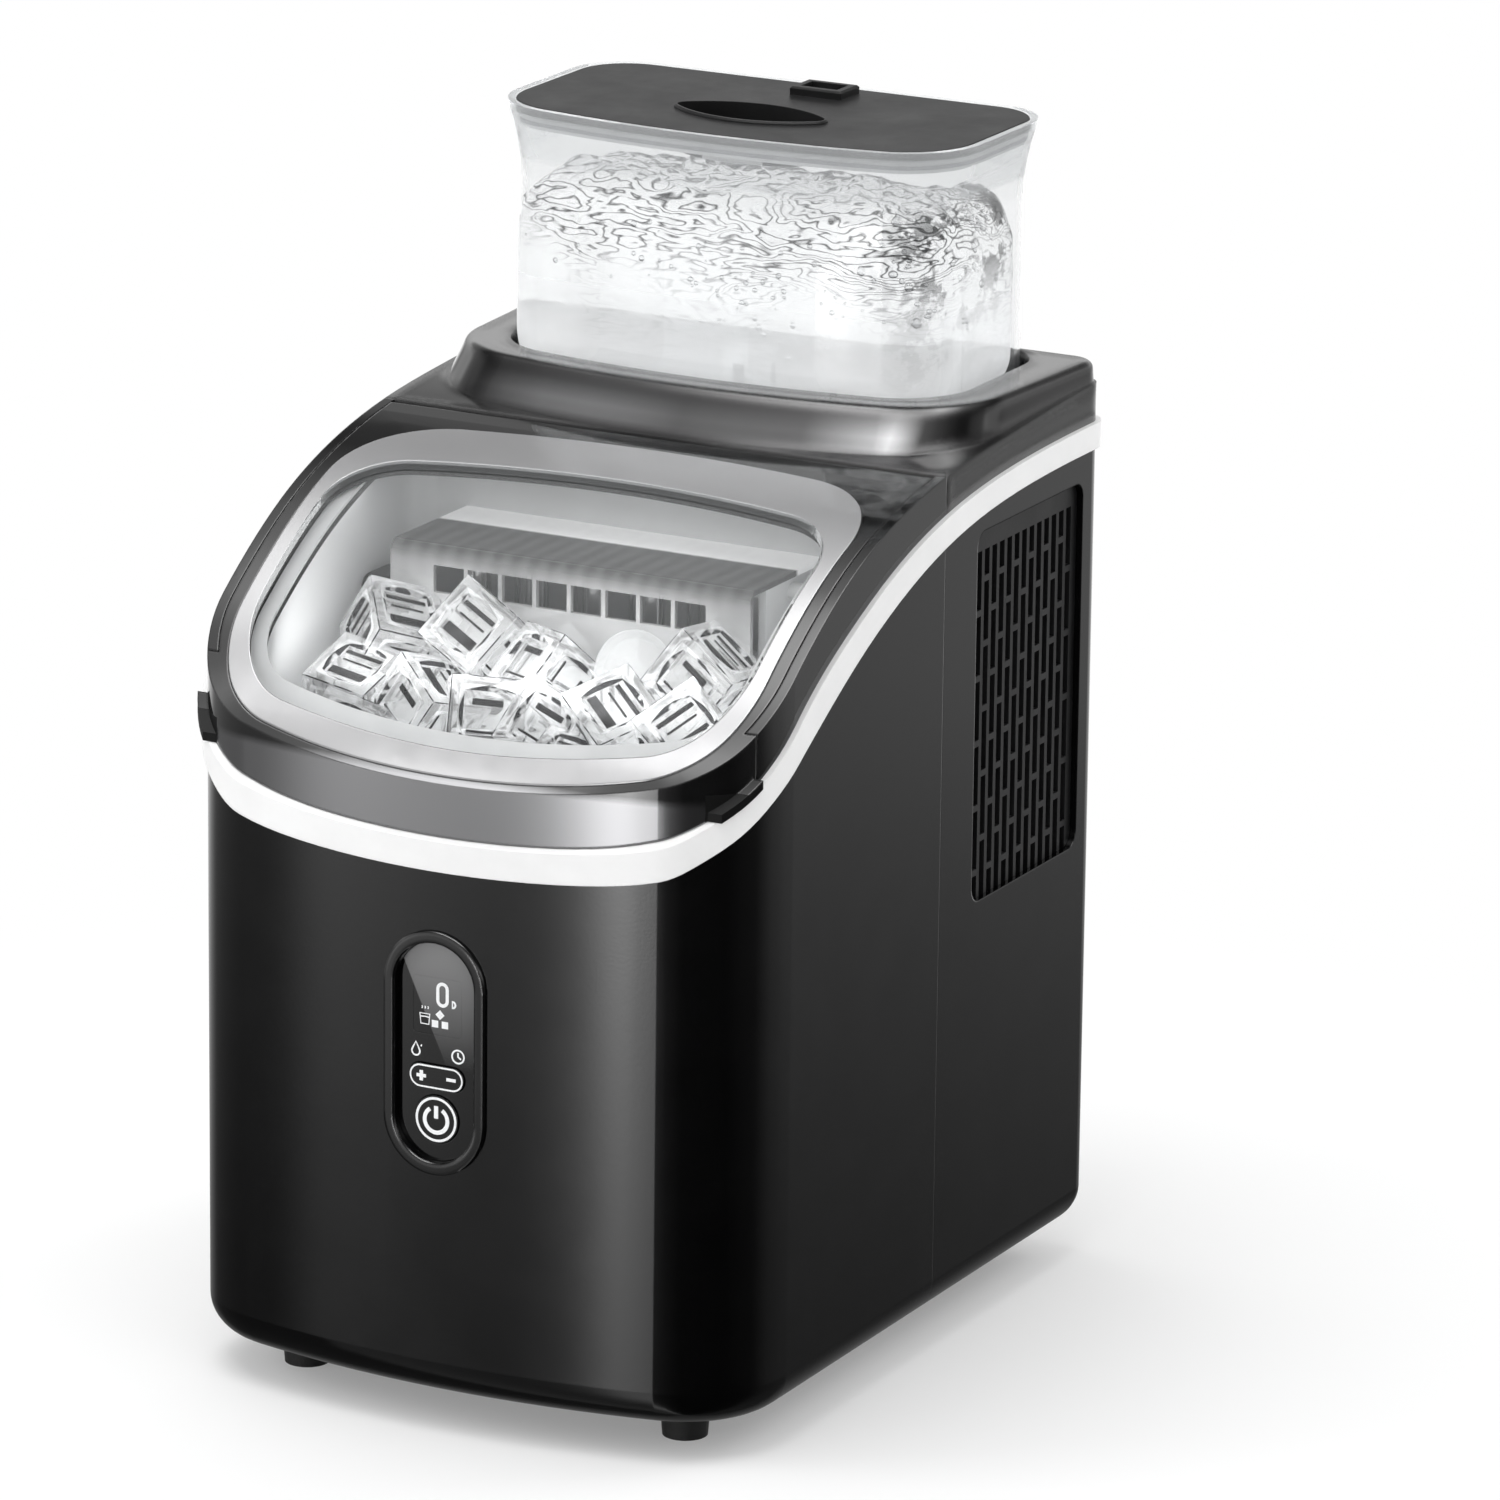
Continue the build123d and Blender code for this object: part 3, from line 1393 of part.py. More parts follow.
with BuildPart() as compressor_grommets:
    with Locations(*[(x, y, base_top_z + grommet_height / 2) for x, y in grommets_at]):
        Cylinder(grommet_radius, grommet_height)
        Cylinder(grommet_radius - 2, grommet_height / 3, mode=Mode.SUBTRACT)
save(compressor_grommets.part, "compressor_grommets")

shroud_side_margin = 39.0
shroud_x = half_width - shroud_side_margin
shroud_thickness = 3.0
shroud_low_z = base_top_z + rib_height
shroud_top_z = fan_z + fan_radius + 26.0
condenser_depth = 22.0
condenser_low_z = grille_low_z + 4.0
condenser_high_z = grille_high_z - 6.0
condenser_front_y = grille_front_y + 4.0
condenser_rear_y = grille_rear_y - 4.0
fin_count = 14
fin_thickness = 0.8
tube_rows = 5
tube_width = 16.0
tube_height = 4.0
fan_ring_gap = 2.0
shroud_rim = 7.0
strut_reach = 34.0
strut_offset = 5.0
strut_thickness = 3.0
strut_width = 12.0
axle_room = 1.5
condenser_x = shroud_x + shroud_thickness + condenser_depth / 2

with BuildPart() as condenser:
    condenser_length = condenser_rear_y - condenser_front_y
    condenser_height = condenser_high_z - condenser_low_z
    fin_pitch = (condenser_length - fin_thickness) / (fin_count - 1)
    with Locations((condenser_x, (condenser_front_y + condenser_rear_y) / 2, 0)):
        with Locations((0, 0, (condenser_low_z + condenser_high_z) / 2)):
            with GridLocations(1, fin_pitch, 1, fin_count):
                Box(condenser_depth, fin_thickness, condenser_height)
            for row in range(tube_rows):
                tube_z = (row - (tube_rows - 1) / 2) * condenser_height / tube_rows
                with Locations((0, 0, tube_z)):
                    Box(tube_width, condenser_length, tube_height)
save(condenser.part, "condenser")

with BuildPart() as fan_shroud:
    with BuildSketch(Plane.YZ.offset(shroud_x)):
        with Locations((fan_y, (shroud_low_z + shroud_top_z) / 2)):
            Rectangle(2 * (fan_radius + shroud_rim), shroud_top_z - shroud_low_z)
        with Locations((fan_y, fan_z)):
            Circle(fan_radius + fan_ring_gap, mode=Mode.SUBTRACT)
    extrude(amount=shroud_thickness)
    for end in (-1, 1):
        with Locations((shroud_x - strut_reach / 2, fan_y + end * (fan_radius + strut_offset), fan_z)):
            Box(strut_reach, strut_thickness, strut_width)
    with Locations((shroud_x - strut_reach + strut_thickness / 2, fan_y, fan_z)):
        Box(strut_thickness, 2 * (fan_radius + strut_offset), strut_width)
        Cylinder(strut_width, strut_thickness, rotation=(0, 90, 0))
        Cylinder(
            fan_axle_radius + axle_room,
            2 * strut_thickness,
            rotation=(0, 90, 0),
            mode=Mode.SUBTRACT,
        )
save(fan_shroud.part, "fan_shroud")

motor_face_x = shroud_x - strut_reach
motor_length = 22.0
motor_radius = 17.0
motor_edge = 2.0
bearing_fit = 0.06
fan_hub_radius = 11.0
fan_hub_length = 14.0
fan_hub_setback = 6.0
fan_hub_x = shroud_x - fan_hub_setback - fan_hub_length / 2
with BuildPart() as fan_motor:
    with Locations((motor_face_x - motor_length / 2, fan_y, fan_z)):
        Cylinder(motor_radius, motor_length, rotation=(0, 90, 0))
    chamfer(fan_motor.edges().filter_by(GeomType.CIRCLE), motor_edge)
    with Locations((motor_face_x - motor_length / 2, fan_y, fan_z)):
        Cylinder(
            fan_axle_radius + bearing_fit,
            motor_length,
            rotation=(0, 90, 0),
            mode=Mode.SUBTRACT,
        )
save(fan_motor.part, "fan_motor")

blade_chord = 20.0
blade_root_share = 0.6
blade_thickness = 1.6
blade_pitch = 28.0
blade_twist = 14.0
blade_root = 2.0
blade_tip_trim = 1.0
with BuildPart(mode=Mode.PRIVATE) as blade:
    with BuildSketch(Plane.XY.offset(fan_hub_radius - blade_root)):
        Rectangle(blade_thickness, blade_chord * blade_root_share, rotation=-blade_pitch - blade_twist)
    with BuildSketch(Plane.XY.offset(fan_radius)):
        Rectangle(blade_thickness, blade_chord, rotation=-blade_pitch)
    loft(ruled=True)

with BuildPart(mode=Mode.PRIVATE) as wheel:
    with Locations((0, 0, 0)):
        Cylinder(fan_hub_radius, fan_hub_length, rotation=(0, 90, 0))
    for turn in range(fan_blades):
        add(blade.part.rotate(Axis.X, turn * 360 / fan_blades))
    with BuildSketch(Plane.YZ.offset(-blade_chord)):
        Circle(2 * fan_radius)
        Circle(fan_radius - blade_tip_trim, mode=Mode.SUBTRACT)
    extrude(amount=2 * blade_chord, mode=Mode.SUBTRACT)

axle_low_x = motor_face_x - motor_length + 4.0
with BuildPart() as fan_rotor:
    with Locations((fan_hub_x, fan_y, fan_z)):
        add(wheel.part)
    with Locations(((axle_low_x + fan_hub_x) / 2, fan_y, fan_z)):
        Cylinder(fan_axle_radius, fan_hub_x - axle_low_x, rotation=(0, 90, 0))
save(fan_rotor.part, "fan_rotor")


def pipe(points, bend, radius, start_normal):
    """Round tube along straight runs joined by bends."""
    with BuildPart(mode=Mode.PRIVATE) as tube:
        with BuildLine():
            FilletPolyline(*points, radius=bend)
        with BuildSketch(Plane(origin=points[0], z_dir=start_normal)):
            Circle(radius)
        sweep()
    return tube.part


pipe_radius = 3.0
pipe_bend = 5.0
rear_lane_gap = 3.0
rear_lane_y = half_depth - housing_wall - pipe_radius - rear_lane_gap
pipe_z = can_low_z + compressor_height / 2
hot_pipe_top_z = condenser_high_z - 12.0
with BuildPart() as hot_gas_pipe:
    add(
        pipe(
            [
                (compressor_x, compressor_y + compressor_radius, pipe_z),
                (compressor_x, rear_lane_y, pipe_z),
                (compressor_x, rear_lane_y, hot_pipe_top_z),
                (condenser_x, rear_lane_y, hot_pipe_top_z),
                (condenser_x, condenser_rear_y, hot_pipe_top_z),
            ],
            pipe_bend,
            pipe_radius,
            (0, 1, 0),
        )
    )
save(hot_gas_pipe.part, "hot_gas_pipe")

compressor_front_y = compressor_y - compressor_radius
front_lane_y = (bin_rear_y + compressor_front_y) / 2
with BuildPart() as suction_pipe:
    add(
        pipe(
            [
                (compressor_x, compressor_y - compressor_radius, pipe_z),
                (compressor_x, front_lane_y, pipe_z),
                (compressor_x, front_lane_y, suction_z),
                (compressor_x, axle_y + manifold_width / 2, suction_z),
            ],
            pipe_bend,
            suction_radius,
            (0, -1, 0),
        )
    )
save(suction_pipe.part, "suction_pipe")


# ---------------------------------------------------------------- water, drain and inlet parts
pump_radius = 19.0
pump_height = 34.0
pump_edge = 2.5
pump_neck_radius = 6.0
with BuildPart() as water_pump:
    with Locations((pump_x, pump_y, base_top_z + pump_height / 2)):
        Cylinder(pump_radius, pump_height)
    chamfer(water_pump.edges().filter_by(GeomType.CIRCLE), pump_edge)
    neck = bin_floor_z - base_top_z - pump_height
    with Locations((pump_x, pump_y, bin_floor_z - neck / 2)):
        Cylinder(pump_neck_radius, neck)
save(water_pump.part, "water_pump")

hose_lane_x = (bin_half_width + half_width - flank_wall) / 2 + 0.2
hose_low_z = base_top_z + 16.0
with BuildPart() as water_hose:
    add(
        pipe(
            [
                (pump_x + pump_radius, pump_y, hose_low_z),
                (hose_lane_x, pump_y, hose_low_z),
                (hose_lane_x, hose_y, hose_low_z + 60.0),
                (hose_lane_x, hose_y, hose_high_z),
                (bracket_x + bracket_thickness, hose_y, hose_high_z),
            ],
            6.0,
            hose_radius,
            (1, 0, 0),
        )
    )
save(water_hose.part, "water_hose")

spout_length = 26.0
spout_front_y = half_depth - spout_length
drain_bore_radius = 5.0
flange_reach = 2.5
flange_thickness = 2.0
spout_end_wall = 2.0
with BuildPart() as drain_spout:
    with Locations((drain_x, half_depth - spout_length / 2, drain_z)):
        Cylinder(drain_port_radius, spout_length, rotation=(90, 0, 0))
    with Locations((drain_x, half_depth - housing_wall - flange_thickness / 2, drain_z)):
        Cylinder(drain_port_radius + flange_reach, flange_thickness, rotation=(90, 0, 0))
    with Locations((drain_x, half_depth - spout_length / 2 + spout_end_wall, drain_z)):
        Cylinder(drain_bore_radius, spout_length, rotation=(90, 0, 0), mode=Mode.SUBTRACT)
save(drain_spout.part, "drain_spout")

drain_hose_radius = 4.5
drain_hose_bend = 12.0
with BuildPart() as drain_hose:
    add(
        pipe(
            [
                (drain_x, drain_outlet_y, bin_floor_z),
                (drain_x, drain_outlet_y, drain_z),
                (drain_x, spout_front_y, drain_z),
            ],
            drain_hose_bend,
            drain_hose_radius,
            (0, 0, -1),
        )
    )
save(drain_hose.part, "drain_hose")

plug_cap = 1.7
plug_cap_reach = 1.5
plug_reach = 14.0
plug_fit = 0.08
with BuildPart() as drain_plug:
    with Locations((drain_x, half_depth + plug_cap / 2, drain_z)):
        Cylinder(drain_port_radius + plug_cap_reach, plug_cap, rotation=(90, 0, 0))
    with Locations((drain_x, half_depth - plug_reach / 2, drain_z)):
        Cylinder(drain_bore_radius - plug_fit, plug_reach, rotation=(90, 0, 0))
save(drain_plug.part, "drain_plug")

gland_proud = 0.8
gland_flange_thickness = 3.0
cord_hole_radius = 3.8
with BuildPart() as cord_gland:
    with Locations((inlet_x, half_depth - (housing_wall - gland_proud) / 2, inlet_z)):
        Cylinder(inlet_radius, housing_wall + gland_proud, rotation=(90, 0, 0))
    with Locations((inlet_x, half_depth - housing_wall - gland_flange_thickness / 2, inlet_z)):
        Cylinder(inlet_radius + flange_reach, gland_flange_thickness, rotation=(90, 0, 0))
    with Locations((inlet_x, half_depth - housing_wall, inlet_z)):
        Cylinder(cord_hole_radius, 8 * housing_wall, rotation=(90, 0, 0), mode=Mode.SUBTRACT)
save(cord_gland.part, "cord_gland")

main_board_width = 84.0
main_board_depth = 64.0
main_board_x = -half_width + 63.0
main_board_y = -half_depth + 81.5
spacer_height = 7.2
spacer_radius = 3.0
spacer_margin = 5.0
relay_width = 22.0
relay_depth = 26.0
relay_height = 14.0
capacitor_width = 14.0
capacitor_depth = 18.0
capacitor_height = 10.0
board_top_z = base_top_z + spacer_height + board_thickness
with BuildPart() as main_board:
    with Locations((main_board_x, main_board_y, board_top_z - board_thickness / 2)):
        Box(main_board_width, main_board_depth, board_thickness)
    with Locations((main_board_x, main_board_y, base_top_z + spacer_height / 2)):
        with GridLocations(
            main_board_width - 2 * spacer_margin,
            main_board_depth - 2 * spacer_margin,
            2,
            2,
        ):
            Cylinder(spacer_radius, spacer_height)
    with Locations((main_board_x - 18.0, main_board_y + 6.0, board_top_z + relay_height / 2)):
        Box(relay_width, relay_depth, relay_height)
    with Locations((main_board_x + 16.0, main_board_y - 8.0, board_top_z + capacitor_height / 2)):
        Box(capacitor_width, capacitor_depth, capacitor_height)
save(main_board.part, "main_board")
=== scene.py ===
import json
import random
from math import cos, radians, sin

import bpy
from mathutils import Matrix, Vector, noise


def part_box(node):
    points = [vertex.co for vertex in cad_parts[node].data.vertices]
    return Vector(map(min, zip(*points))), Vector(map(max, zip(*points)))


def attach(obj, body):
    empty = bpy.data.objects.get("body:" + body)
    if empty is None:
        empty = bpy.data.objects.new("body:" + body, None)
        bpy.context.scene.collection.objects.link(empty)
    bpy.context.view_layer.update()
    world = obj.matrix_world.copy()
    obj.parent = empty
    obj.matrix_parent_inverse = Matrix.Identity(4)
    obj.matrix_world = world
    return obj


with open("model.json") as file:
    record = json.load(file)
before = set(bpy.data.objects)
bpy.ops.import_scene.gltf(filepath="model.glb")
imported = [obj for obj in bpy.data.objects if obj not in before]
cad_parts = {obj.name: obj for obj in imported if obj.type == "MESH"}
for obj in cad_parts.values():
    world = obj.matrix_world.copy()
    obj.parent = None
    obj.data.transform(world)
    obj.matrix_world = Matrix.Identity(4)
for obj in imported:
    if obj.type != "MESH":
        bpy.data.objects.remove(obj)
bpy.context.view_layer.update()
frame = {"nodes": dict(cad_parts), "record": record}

nodes = frame["nodes"]
mm = 0.001
scene = bpy.context.scene


# ---------------------------------------------------------------- shader nodes
def add_node(tree, kind, inputs, **settings):
    """A shader node with its settings; each input takes a constant or another node's output."""
    node = tree.nodes.new("ShaderNode" + kind)
    for name, value in settings.items():
        setattr(node, name, value)
    for name, value in inputs.items():
        if isinstance(value, bpy.types.NodeSocket):
            tree.links.new(value, node.inputs[name])
        else:
            node.inputs[name].default_value = value
    return node


def first_output(tree, kind, inputs, **settings):
    """The first output of a new shader node."""
    return add_node(tree, kind, inputs, **settings).outputs[0]


def calc(tree, operation, *terms, clamp=False):
    """One operation on constants or other nodes' outputs."""
    return first_output(tree, "Math", dict(enumerate(terms)), operation=operation, use_clamp=clamp)


def remap(tree, value, low, high, to_low=0.0, to_high=1.0, **settings):
    """A value carried over from the range low to high into the range to_low to to_high."""
    inputs = {"Value": value, "From Min": low, "From Max": high, "To Min": to_low, "To Max": to_high}
    return first_output(tree, "MapRange", inputs, **settings)


def mix_shaders(tree, share, first, second):
    """Two shaders mixed; the share is the second one's."""
    return first_output(tree, "MixShader", {0: share, 1: first, 2: second})


def axes(tree, place):
    """X, Y and Z of the coordinates, each on its own."""
    return add_node(tree, "SeparateXYZ", {"Vector": place}).outputs


def graded(tree, value, points, scale=1.0):
    """A ramp over a value: points are (value, level), lowest first, levels divided by the scale."""
    low, high = points[0][0], points[-1][0]
    ramp = add_node(tree, "ValToRGB", {"Fac": remap(tree, value, low, high)})
    steps = ramp.color_ramp.elements
    steps.remove(steps[1])
    for index, (at, level) in enumerate(points):
        share = (at - low) / (high - low)
        step = steps[0] if index == 0 else steps.new(share)
        step.position = share
        step.color = (level / scale, level / scale, level / scale, 1)
    return ramp.outputs["Color"]


def by_height(tree, place, points):
    """A value that follows the height: points are (height in metres, value), lowest first."""
    return graded(tree, axes(tree, place)["Z"], points)


def grain(tree, place, scale, detail=3.0, roughness=0.55, stretch=(1, 1, 1)):
    """Noise over the coordinates, drawn out along an axis where wanted."""
    if stretch != (1, 1, 1):
        place = first_output(tree, "Mapping", {"Vector": place, "Scale": stretch})
    inputs = {"Vector": place, "Scale": scale, "Detail": detail, "Roughness": roughness}
    return add_node(tree, "TexNoise", inputs).outputs["Fac"]


def spread(tree, noise_level, low, high):
    """The noise spread from low to high."""
    return remap(tree, noise_level, 0.3, 0.7, low, high)


def two_tones(tree, noise_level, first, second):
    """Colour that drifts between two tones with the noise."""
    ramp = add_node(tree, "ValToRGB", {"Fac": noise_level})
    for step, at, tone in zip(ramp.color_ramp.elements, (0.32, 0.68), (first, second)):
        step.position = at
        step.color = (*tone, 1)
    return ramp.outputs["Color"]


def skin(tree, place, scale, depth, distance, stretch=(1, 1, 1), edge=0.0):
    """The normal of a finely textured skin, over softened edges where wanted."""
    relief = grain(tree, place, scale, 2.0, 0.5, stretch)
    inputs = {"Strength": depth, "Distance": distance, "Height": relief}
    if edge > 0:
        inputs["Normal"] = first_output(tree, "Bevel", {"Radius": edge}, samples=8)
    return first_output(tree, "Bump", inputs)


def tint_over(tree, shader, share, colour):
    """Another colour laid over a shader's own; the share says how much of it shows."""
    own = shader.inputs["Base Color"].links[0].from_socket
    tone = add_node(tree, "Mix", {"Factor": share, "A": own, "B": colour}, data_type="RGBA")
    tree.links.new(tone.outputs["Result"], shader.inputs["Base Color"])


# ---------------------------------------------------------------- kinds of finish
def new_finish(name):
    """An empty material with its output node and the object's own coordinates."""
    finish = bpy.data.materials.new(name)
    finish.use_nodes = True
    tree = finish.node_tree
    tree.nodes.clear()
    output = add_node(tree, "OutputMaterial", {})
    place = add_node(tree, "TexCoord", {}).outputs["Object"]
    return finish, tree, output, place


def moulded_base(name, first, second, roughness, moulding=900.0, depth=0.02, coat=0.0, metallic=0.0,
                 specular=0.5, stretch=(1, 1, 1), rough_spread=0.12, weld=45.0, edge=0.0):
    """Moulded or painted finish, and its nodes: slow tone drift, a fine skin and a spread of roughness."""
    finish, tree, output, place = new_finish(name)
    slow = grain(tree, place, weld, 4.0, 0.6, stretch)
    smoothest = max(roughness * (1 - rough_spread), 0.01)
    roughest = min(roughness * (1 + rough_spread), 1.0)
    shader = add_node(tree, "BsdfPrincipled", {
        "Base Color": two_tones(tree, slow, first, second),
        "Metallic": metallic,
        "Roughness": spread(tree, slow, smoothest, roughest),
        "Specular IOR Level": specular,
        "Coat Weight": coat,
        "Coat Roughness": 0.05,
        "Normal": skin(tree, place, moulding, depth, 0.0004, stretch, edge),
    })
    tree.links.new(shader.outputs["BSDF"], output.inputs["Surface"])
    return finish, tree, output, place, shader


def moulded(name, *values, **options):
    """Moulded or painted finish."""
    return moulded_base(name, *values, **options)[0]


def clear(name, tint, roughness, ior, haze, haze_tint=(0.9, 0.92, 0.93), ripple=260.0, depth=0.03,
          see_through=0.0, painted_glow=0.0, lines=None):
    """Clear moulding, water or ice: refracts and lets light through, with a haze in the skin.

    The haze is one level, or a list of (height, level). Lines is a function that says how dark the skin is
    where lines are drawn in it; that dark is painted shade. A painted_glow above nought lights the haze
    with painted light, though it is no lamp.
    is where lines are drawn in it.
    """
    finish, tree, output, place = new_finish(name)
    slow = grain(tree, place, 30.0, 3.0, 0.5)
    surface = first_output(tree, "BsdfPrincipled", {
        "Base Color": (*tint, 1),
        "Roughness": spread(tree, slow, roughness * 0.6, roughness * 1.4),
        "IOR": ior,
        "Transmission Weight": 1.0,
        "Normal": skin(tree, place, ripple, depth, 0.0006),
    })
    veil = first_output(tree, "BsdfDiffuse", {"Color": (*haze_tint, 1)})
    veil_through = first_output(tree, "BsdfTranslucent", {"Color": (*haze_tint, 1)})
    milky = mix_shaders(tree, 0.5, veil, veil_through)
    # Painted light: the haze glows, though it is no lamp.
    if painted_glow > 0:
        lit = first_output(tree, "Emission", {"Color": (*haze_tint, 1), "Strength": painted_glow})
        milky = first_output(tree, "AddShader", {0: milky, 1: lit})
    if isinstance(haze, list):
        veil_share = by_height(tree, place, haze)
    else:
        veil_share = spread(tree, slow, haze * 0.8, haze * 1.2)
    surface = mix_shaders(tree, veil_share, surface, milky)
    if lines:
        # Painted shade: the dark drawn into the skin along the streaks that the lines function gives.
        shade = first_output(tree, "BsdfDiffuse", {"Color": (0.012, 0.012, 0.013, 1)})
        surface = mix_shaders(tree, lines(tree, place), surface, shade)
    if see_through > 0:
        surface = mix_shaders(tree, see_through, surface, first_output(tree, "BsdfTransparent", {}))
    shadow_ray = add_node(tree, "LightPath", {}).outputs["Is Shadow Ray"]
    pass_light = first_output(tree, "BsdfTransparent", {"Color": (*tint, 1)})
    tree.links.new(mix_shaders(tree, shadow_ray, surface, pass_light), output.inputs["Surface"])
    return finish


def painted_wave_shade(tree, place):
    """Painted shade on stirred water: how dark its wavelets are drawn, as thin streaks strongest near its
    surface.
    """
    warp = add_node(tree, "TexNoise", {"Vector": place, "Scale": 60.0, "Detail": 2.0, "Roughness": 0.5})
    bend = first_output(tree, "VectorMath", {0: warp.outputs["Color"], "Scale": 0.007}, operation="SCALE")
    moved = first_output(tree, "VectorMath", {0: place, 1: bend}, operation="ADD")
    waves = grain(tree, moved, 38.0, 3.0, 0.5, stretch=(0.55, 0.55, 2.6))
    line = remap(tree, calc(tree, "PINGPONG", waves, 0.030), 0.0, 0.012, 1.0, 0.0)
    patches = spread(tree, grain(tree, place, 26.0, 2.0, 0.5), -0.5, 1.1)
    top = by_height(tree, place, [(0.380, 0.0), (0.392, 0.55), (0.402, 1.0)])
    wavelets = calc(tree, "MULTIPLY", line, calc(tree, "ADD", patches, top, clamp=True))
    right_side = remap(tree, axes(tree, place)["X"], 0.066, 0.080)
    eddies = remap(tree, grain(tree, place, 75.0, 4.0, 0.65), 0.50, 0.56, 0.0, 0.75)
    stirred = calc(tree, "MULTIPLY_ADD", right_side, eddies, wavelets, clamp=True)
    heights = [(0.340, 0.0), (0.362, 0.16), (0.377, 0.42), (0.388, 0.85), (0.396, 1.0), (0.42, 1.0)]
    return calc(tree, "MULTIPLY", stirred, by_height(tree, place, heights))


def painted_edge_shade(tree, place):
    """Painted shade on the slanted faces of ice: broken dark streaks where they look into the heap."""
    return remap(tree, grain(tree, place, 150.0, 2.0, 0.6), 0.43, 0.49, 0.0, 0.94)


# ---------------------------------------------------------------- plain finishes, by material slot
black_tones = (0.0010, 0.0010, 0.0011), (0.0015, 0.0015, 0.0016)
plain_finishes = {
    "black_plastic": ((0.006, 0.006, 0.0065), (0.009, 0.009, 0.0095), 0.42,
                      dict(moulding=1400, depth=0.12)),
    "body_black": ((0.0008, 0.0008, 0.0009), (0.0013, 0.0013, 0.0014), 0.13,
                   dict(moulding=900, depth=0.012, rough_spread=0.08, edge=0.0007)),
    "casing_black": (*black_tones, 0.08, dict(moulding=500, depth=0.006, coat=0.3, edge=0.0007)),
    "panel_black": (*black_tones, 0.06, dict(moulding=400, depth=0.004, coat=0.5, edge=0.0003)),
    "trim_white": ((0.84, 0.84, 0.84), (0.88, 0.88, 0.88), 0.34,
                   dict(moulding=1100, depth=0.03, edge=0.0004)),
    "ring_silver": ((0.35, 0.35, 0.354), (0.38, 0.38, 0.384), 0.24,
                    dict(weld=12, moulding=1500, depth=0.03, metallic=0.50, coat=0.15, rough_spread=0.03,
                         edge=0.0005)),
    "white_plastic": ((0.80, 0.81, 0.81), (0.86, 0.87, 0.87), 0.38, dict(moulding=1200, depth=0.06)),
    "liner_grey": ((0.74, 0.745, 0.75), (0.80, 0.805, 0.81), 0.34, dict(moulding=1200, depth=0.06)),
    "grey_rubber": ((0.26, 0.26, 0.27), (0.32, 0.32, 0.33), 0.62, dict(moulding=2200, depth=0.25)),
    "black_rubber": ((0.010, 0.010, 0.010), (0.018, 0.018, 0.018), 0.66, dict(moulding=2000, depth=0.3)),
    "hose_rubber": ((0.50, 0.51, 0.51), (0.62, 0.62, 0.62), 0.42, dict(moulding=900, depth=0.1)),
    "screw_steel": ((0.55, 0.55, 0.56), (0.66, 0.66, 0.67), 0.28,
                    dict(moulding=700, depth=0.06, metallic=1.0, stretch=(1, 1, 6))),
    "circuit_green": ((0.012, 0.10, 0.04), (0.02, 0.17, 0.07), 0.36,
                      dict(moulding=1500, depth=0.15, weld=400)),
    "evaporator_metal": ((0.58, 0.58, 0.58), (0.72, 0.72, 0.72), 0.22,
                         dict(moulding=900, depth=0.05, metallic=1.0)),
    "compressor_black": ((0.010, 0.010, 0.010), (0.020, 0.020, 0.020), 0.38,
                         dict(moulding=600, depth=0.12)),
    "fin_aluminium": ((0.62, 0.62, 0.63), (0.76, 0.76, 0.77), 0.34,
                      dict(moulding=800, depth=0.08, metallic=1.0, stretch=(6, 1, 1))),
    "copper": ((0.62, 0.28, 0.15), (0.75, 0.39, 0.24), 0.26, dict(moulding=500, depth=0.06, metallic=1.0)),
}
finishes = {}
for slot_name, (first_tone, second_tone, gloss, options) in plain_finishes.items():
    finishes[slot_name] = moulded(slot_name, first_tone, second_tone, gloss, **options)


# ---------------------------------------------------------------- finishes of single pieces
def lid_finish():
    """Gloss black lid with a dark gunmetal skirt in front and matte finger lips beyond the housing."""
    finish, tree, output, place, gloss = moulded_base(
        "lid_black", (0.0015, 0.0015, 0.0016), (0.0025, 0.0025, 0.0026), 0.09, moulding=500, depth=0.006,
        coat=0.5, edge=0.0008)
    sheen = first_output(tree, "BsdfPrincipled", {
        "Base Color": (0.245, 0.245, 0.25, 1),
        "Metallic": 1.0,
        "Roughness": 0.21,
        "Normal": gloss.inputs["Normal"].links[0].from_socket,
    })
    matte = first_output(tree, "BsdfPrincipled", {
        "Base Color": (0.004, 0.004, 0.004, 1),
        "Roughness": 0.5,
        "Specular IOR Level": 0.2,
    })
    at = axes(tree, place)
    across = calc(tree, "ABSOLUTE", at["X"])
    within = calc(tree, "LESS_THAN", across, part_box("front_housing")[1].x + 0.0003)
    corner_x, corner_y, corner_z = 0.098, -0.110, 0.2465
    off_corner = calc(tree, "LESS_THAN", across, corner_x)
    for axis, limit in (("Y", corner_y), ("Z", corner_z)):
        off_corner = calc(tree, "MAXIMUM", off_corner, calc(tree, "GREATER_THAN", at[axis], limit))
    polished = calc(tree, "MULTIPLY", within, off_corner)
    gloss_foot, skirt_top = 0.2445, 0.2415
    skirt = calc(tree, "MULTIPLY", remap(tree, at["Z"], gloss_foot, skirt_top), polished)
    shell = mix_shaders(tree, skirt, gloss.outputs["BSDF"], sheen)
    tree.links.new(mix_shaders(tree, polished, matte, shell), output.inputs["Surface"])
    return finish


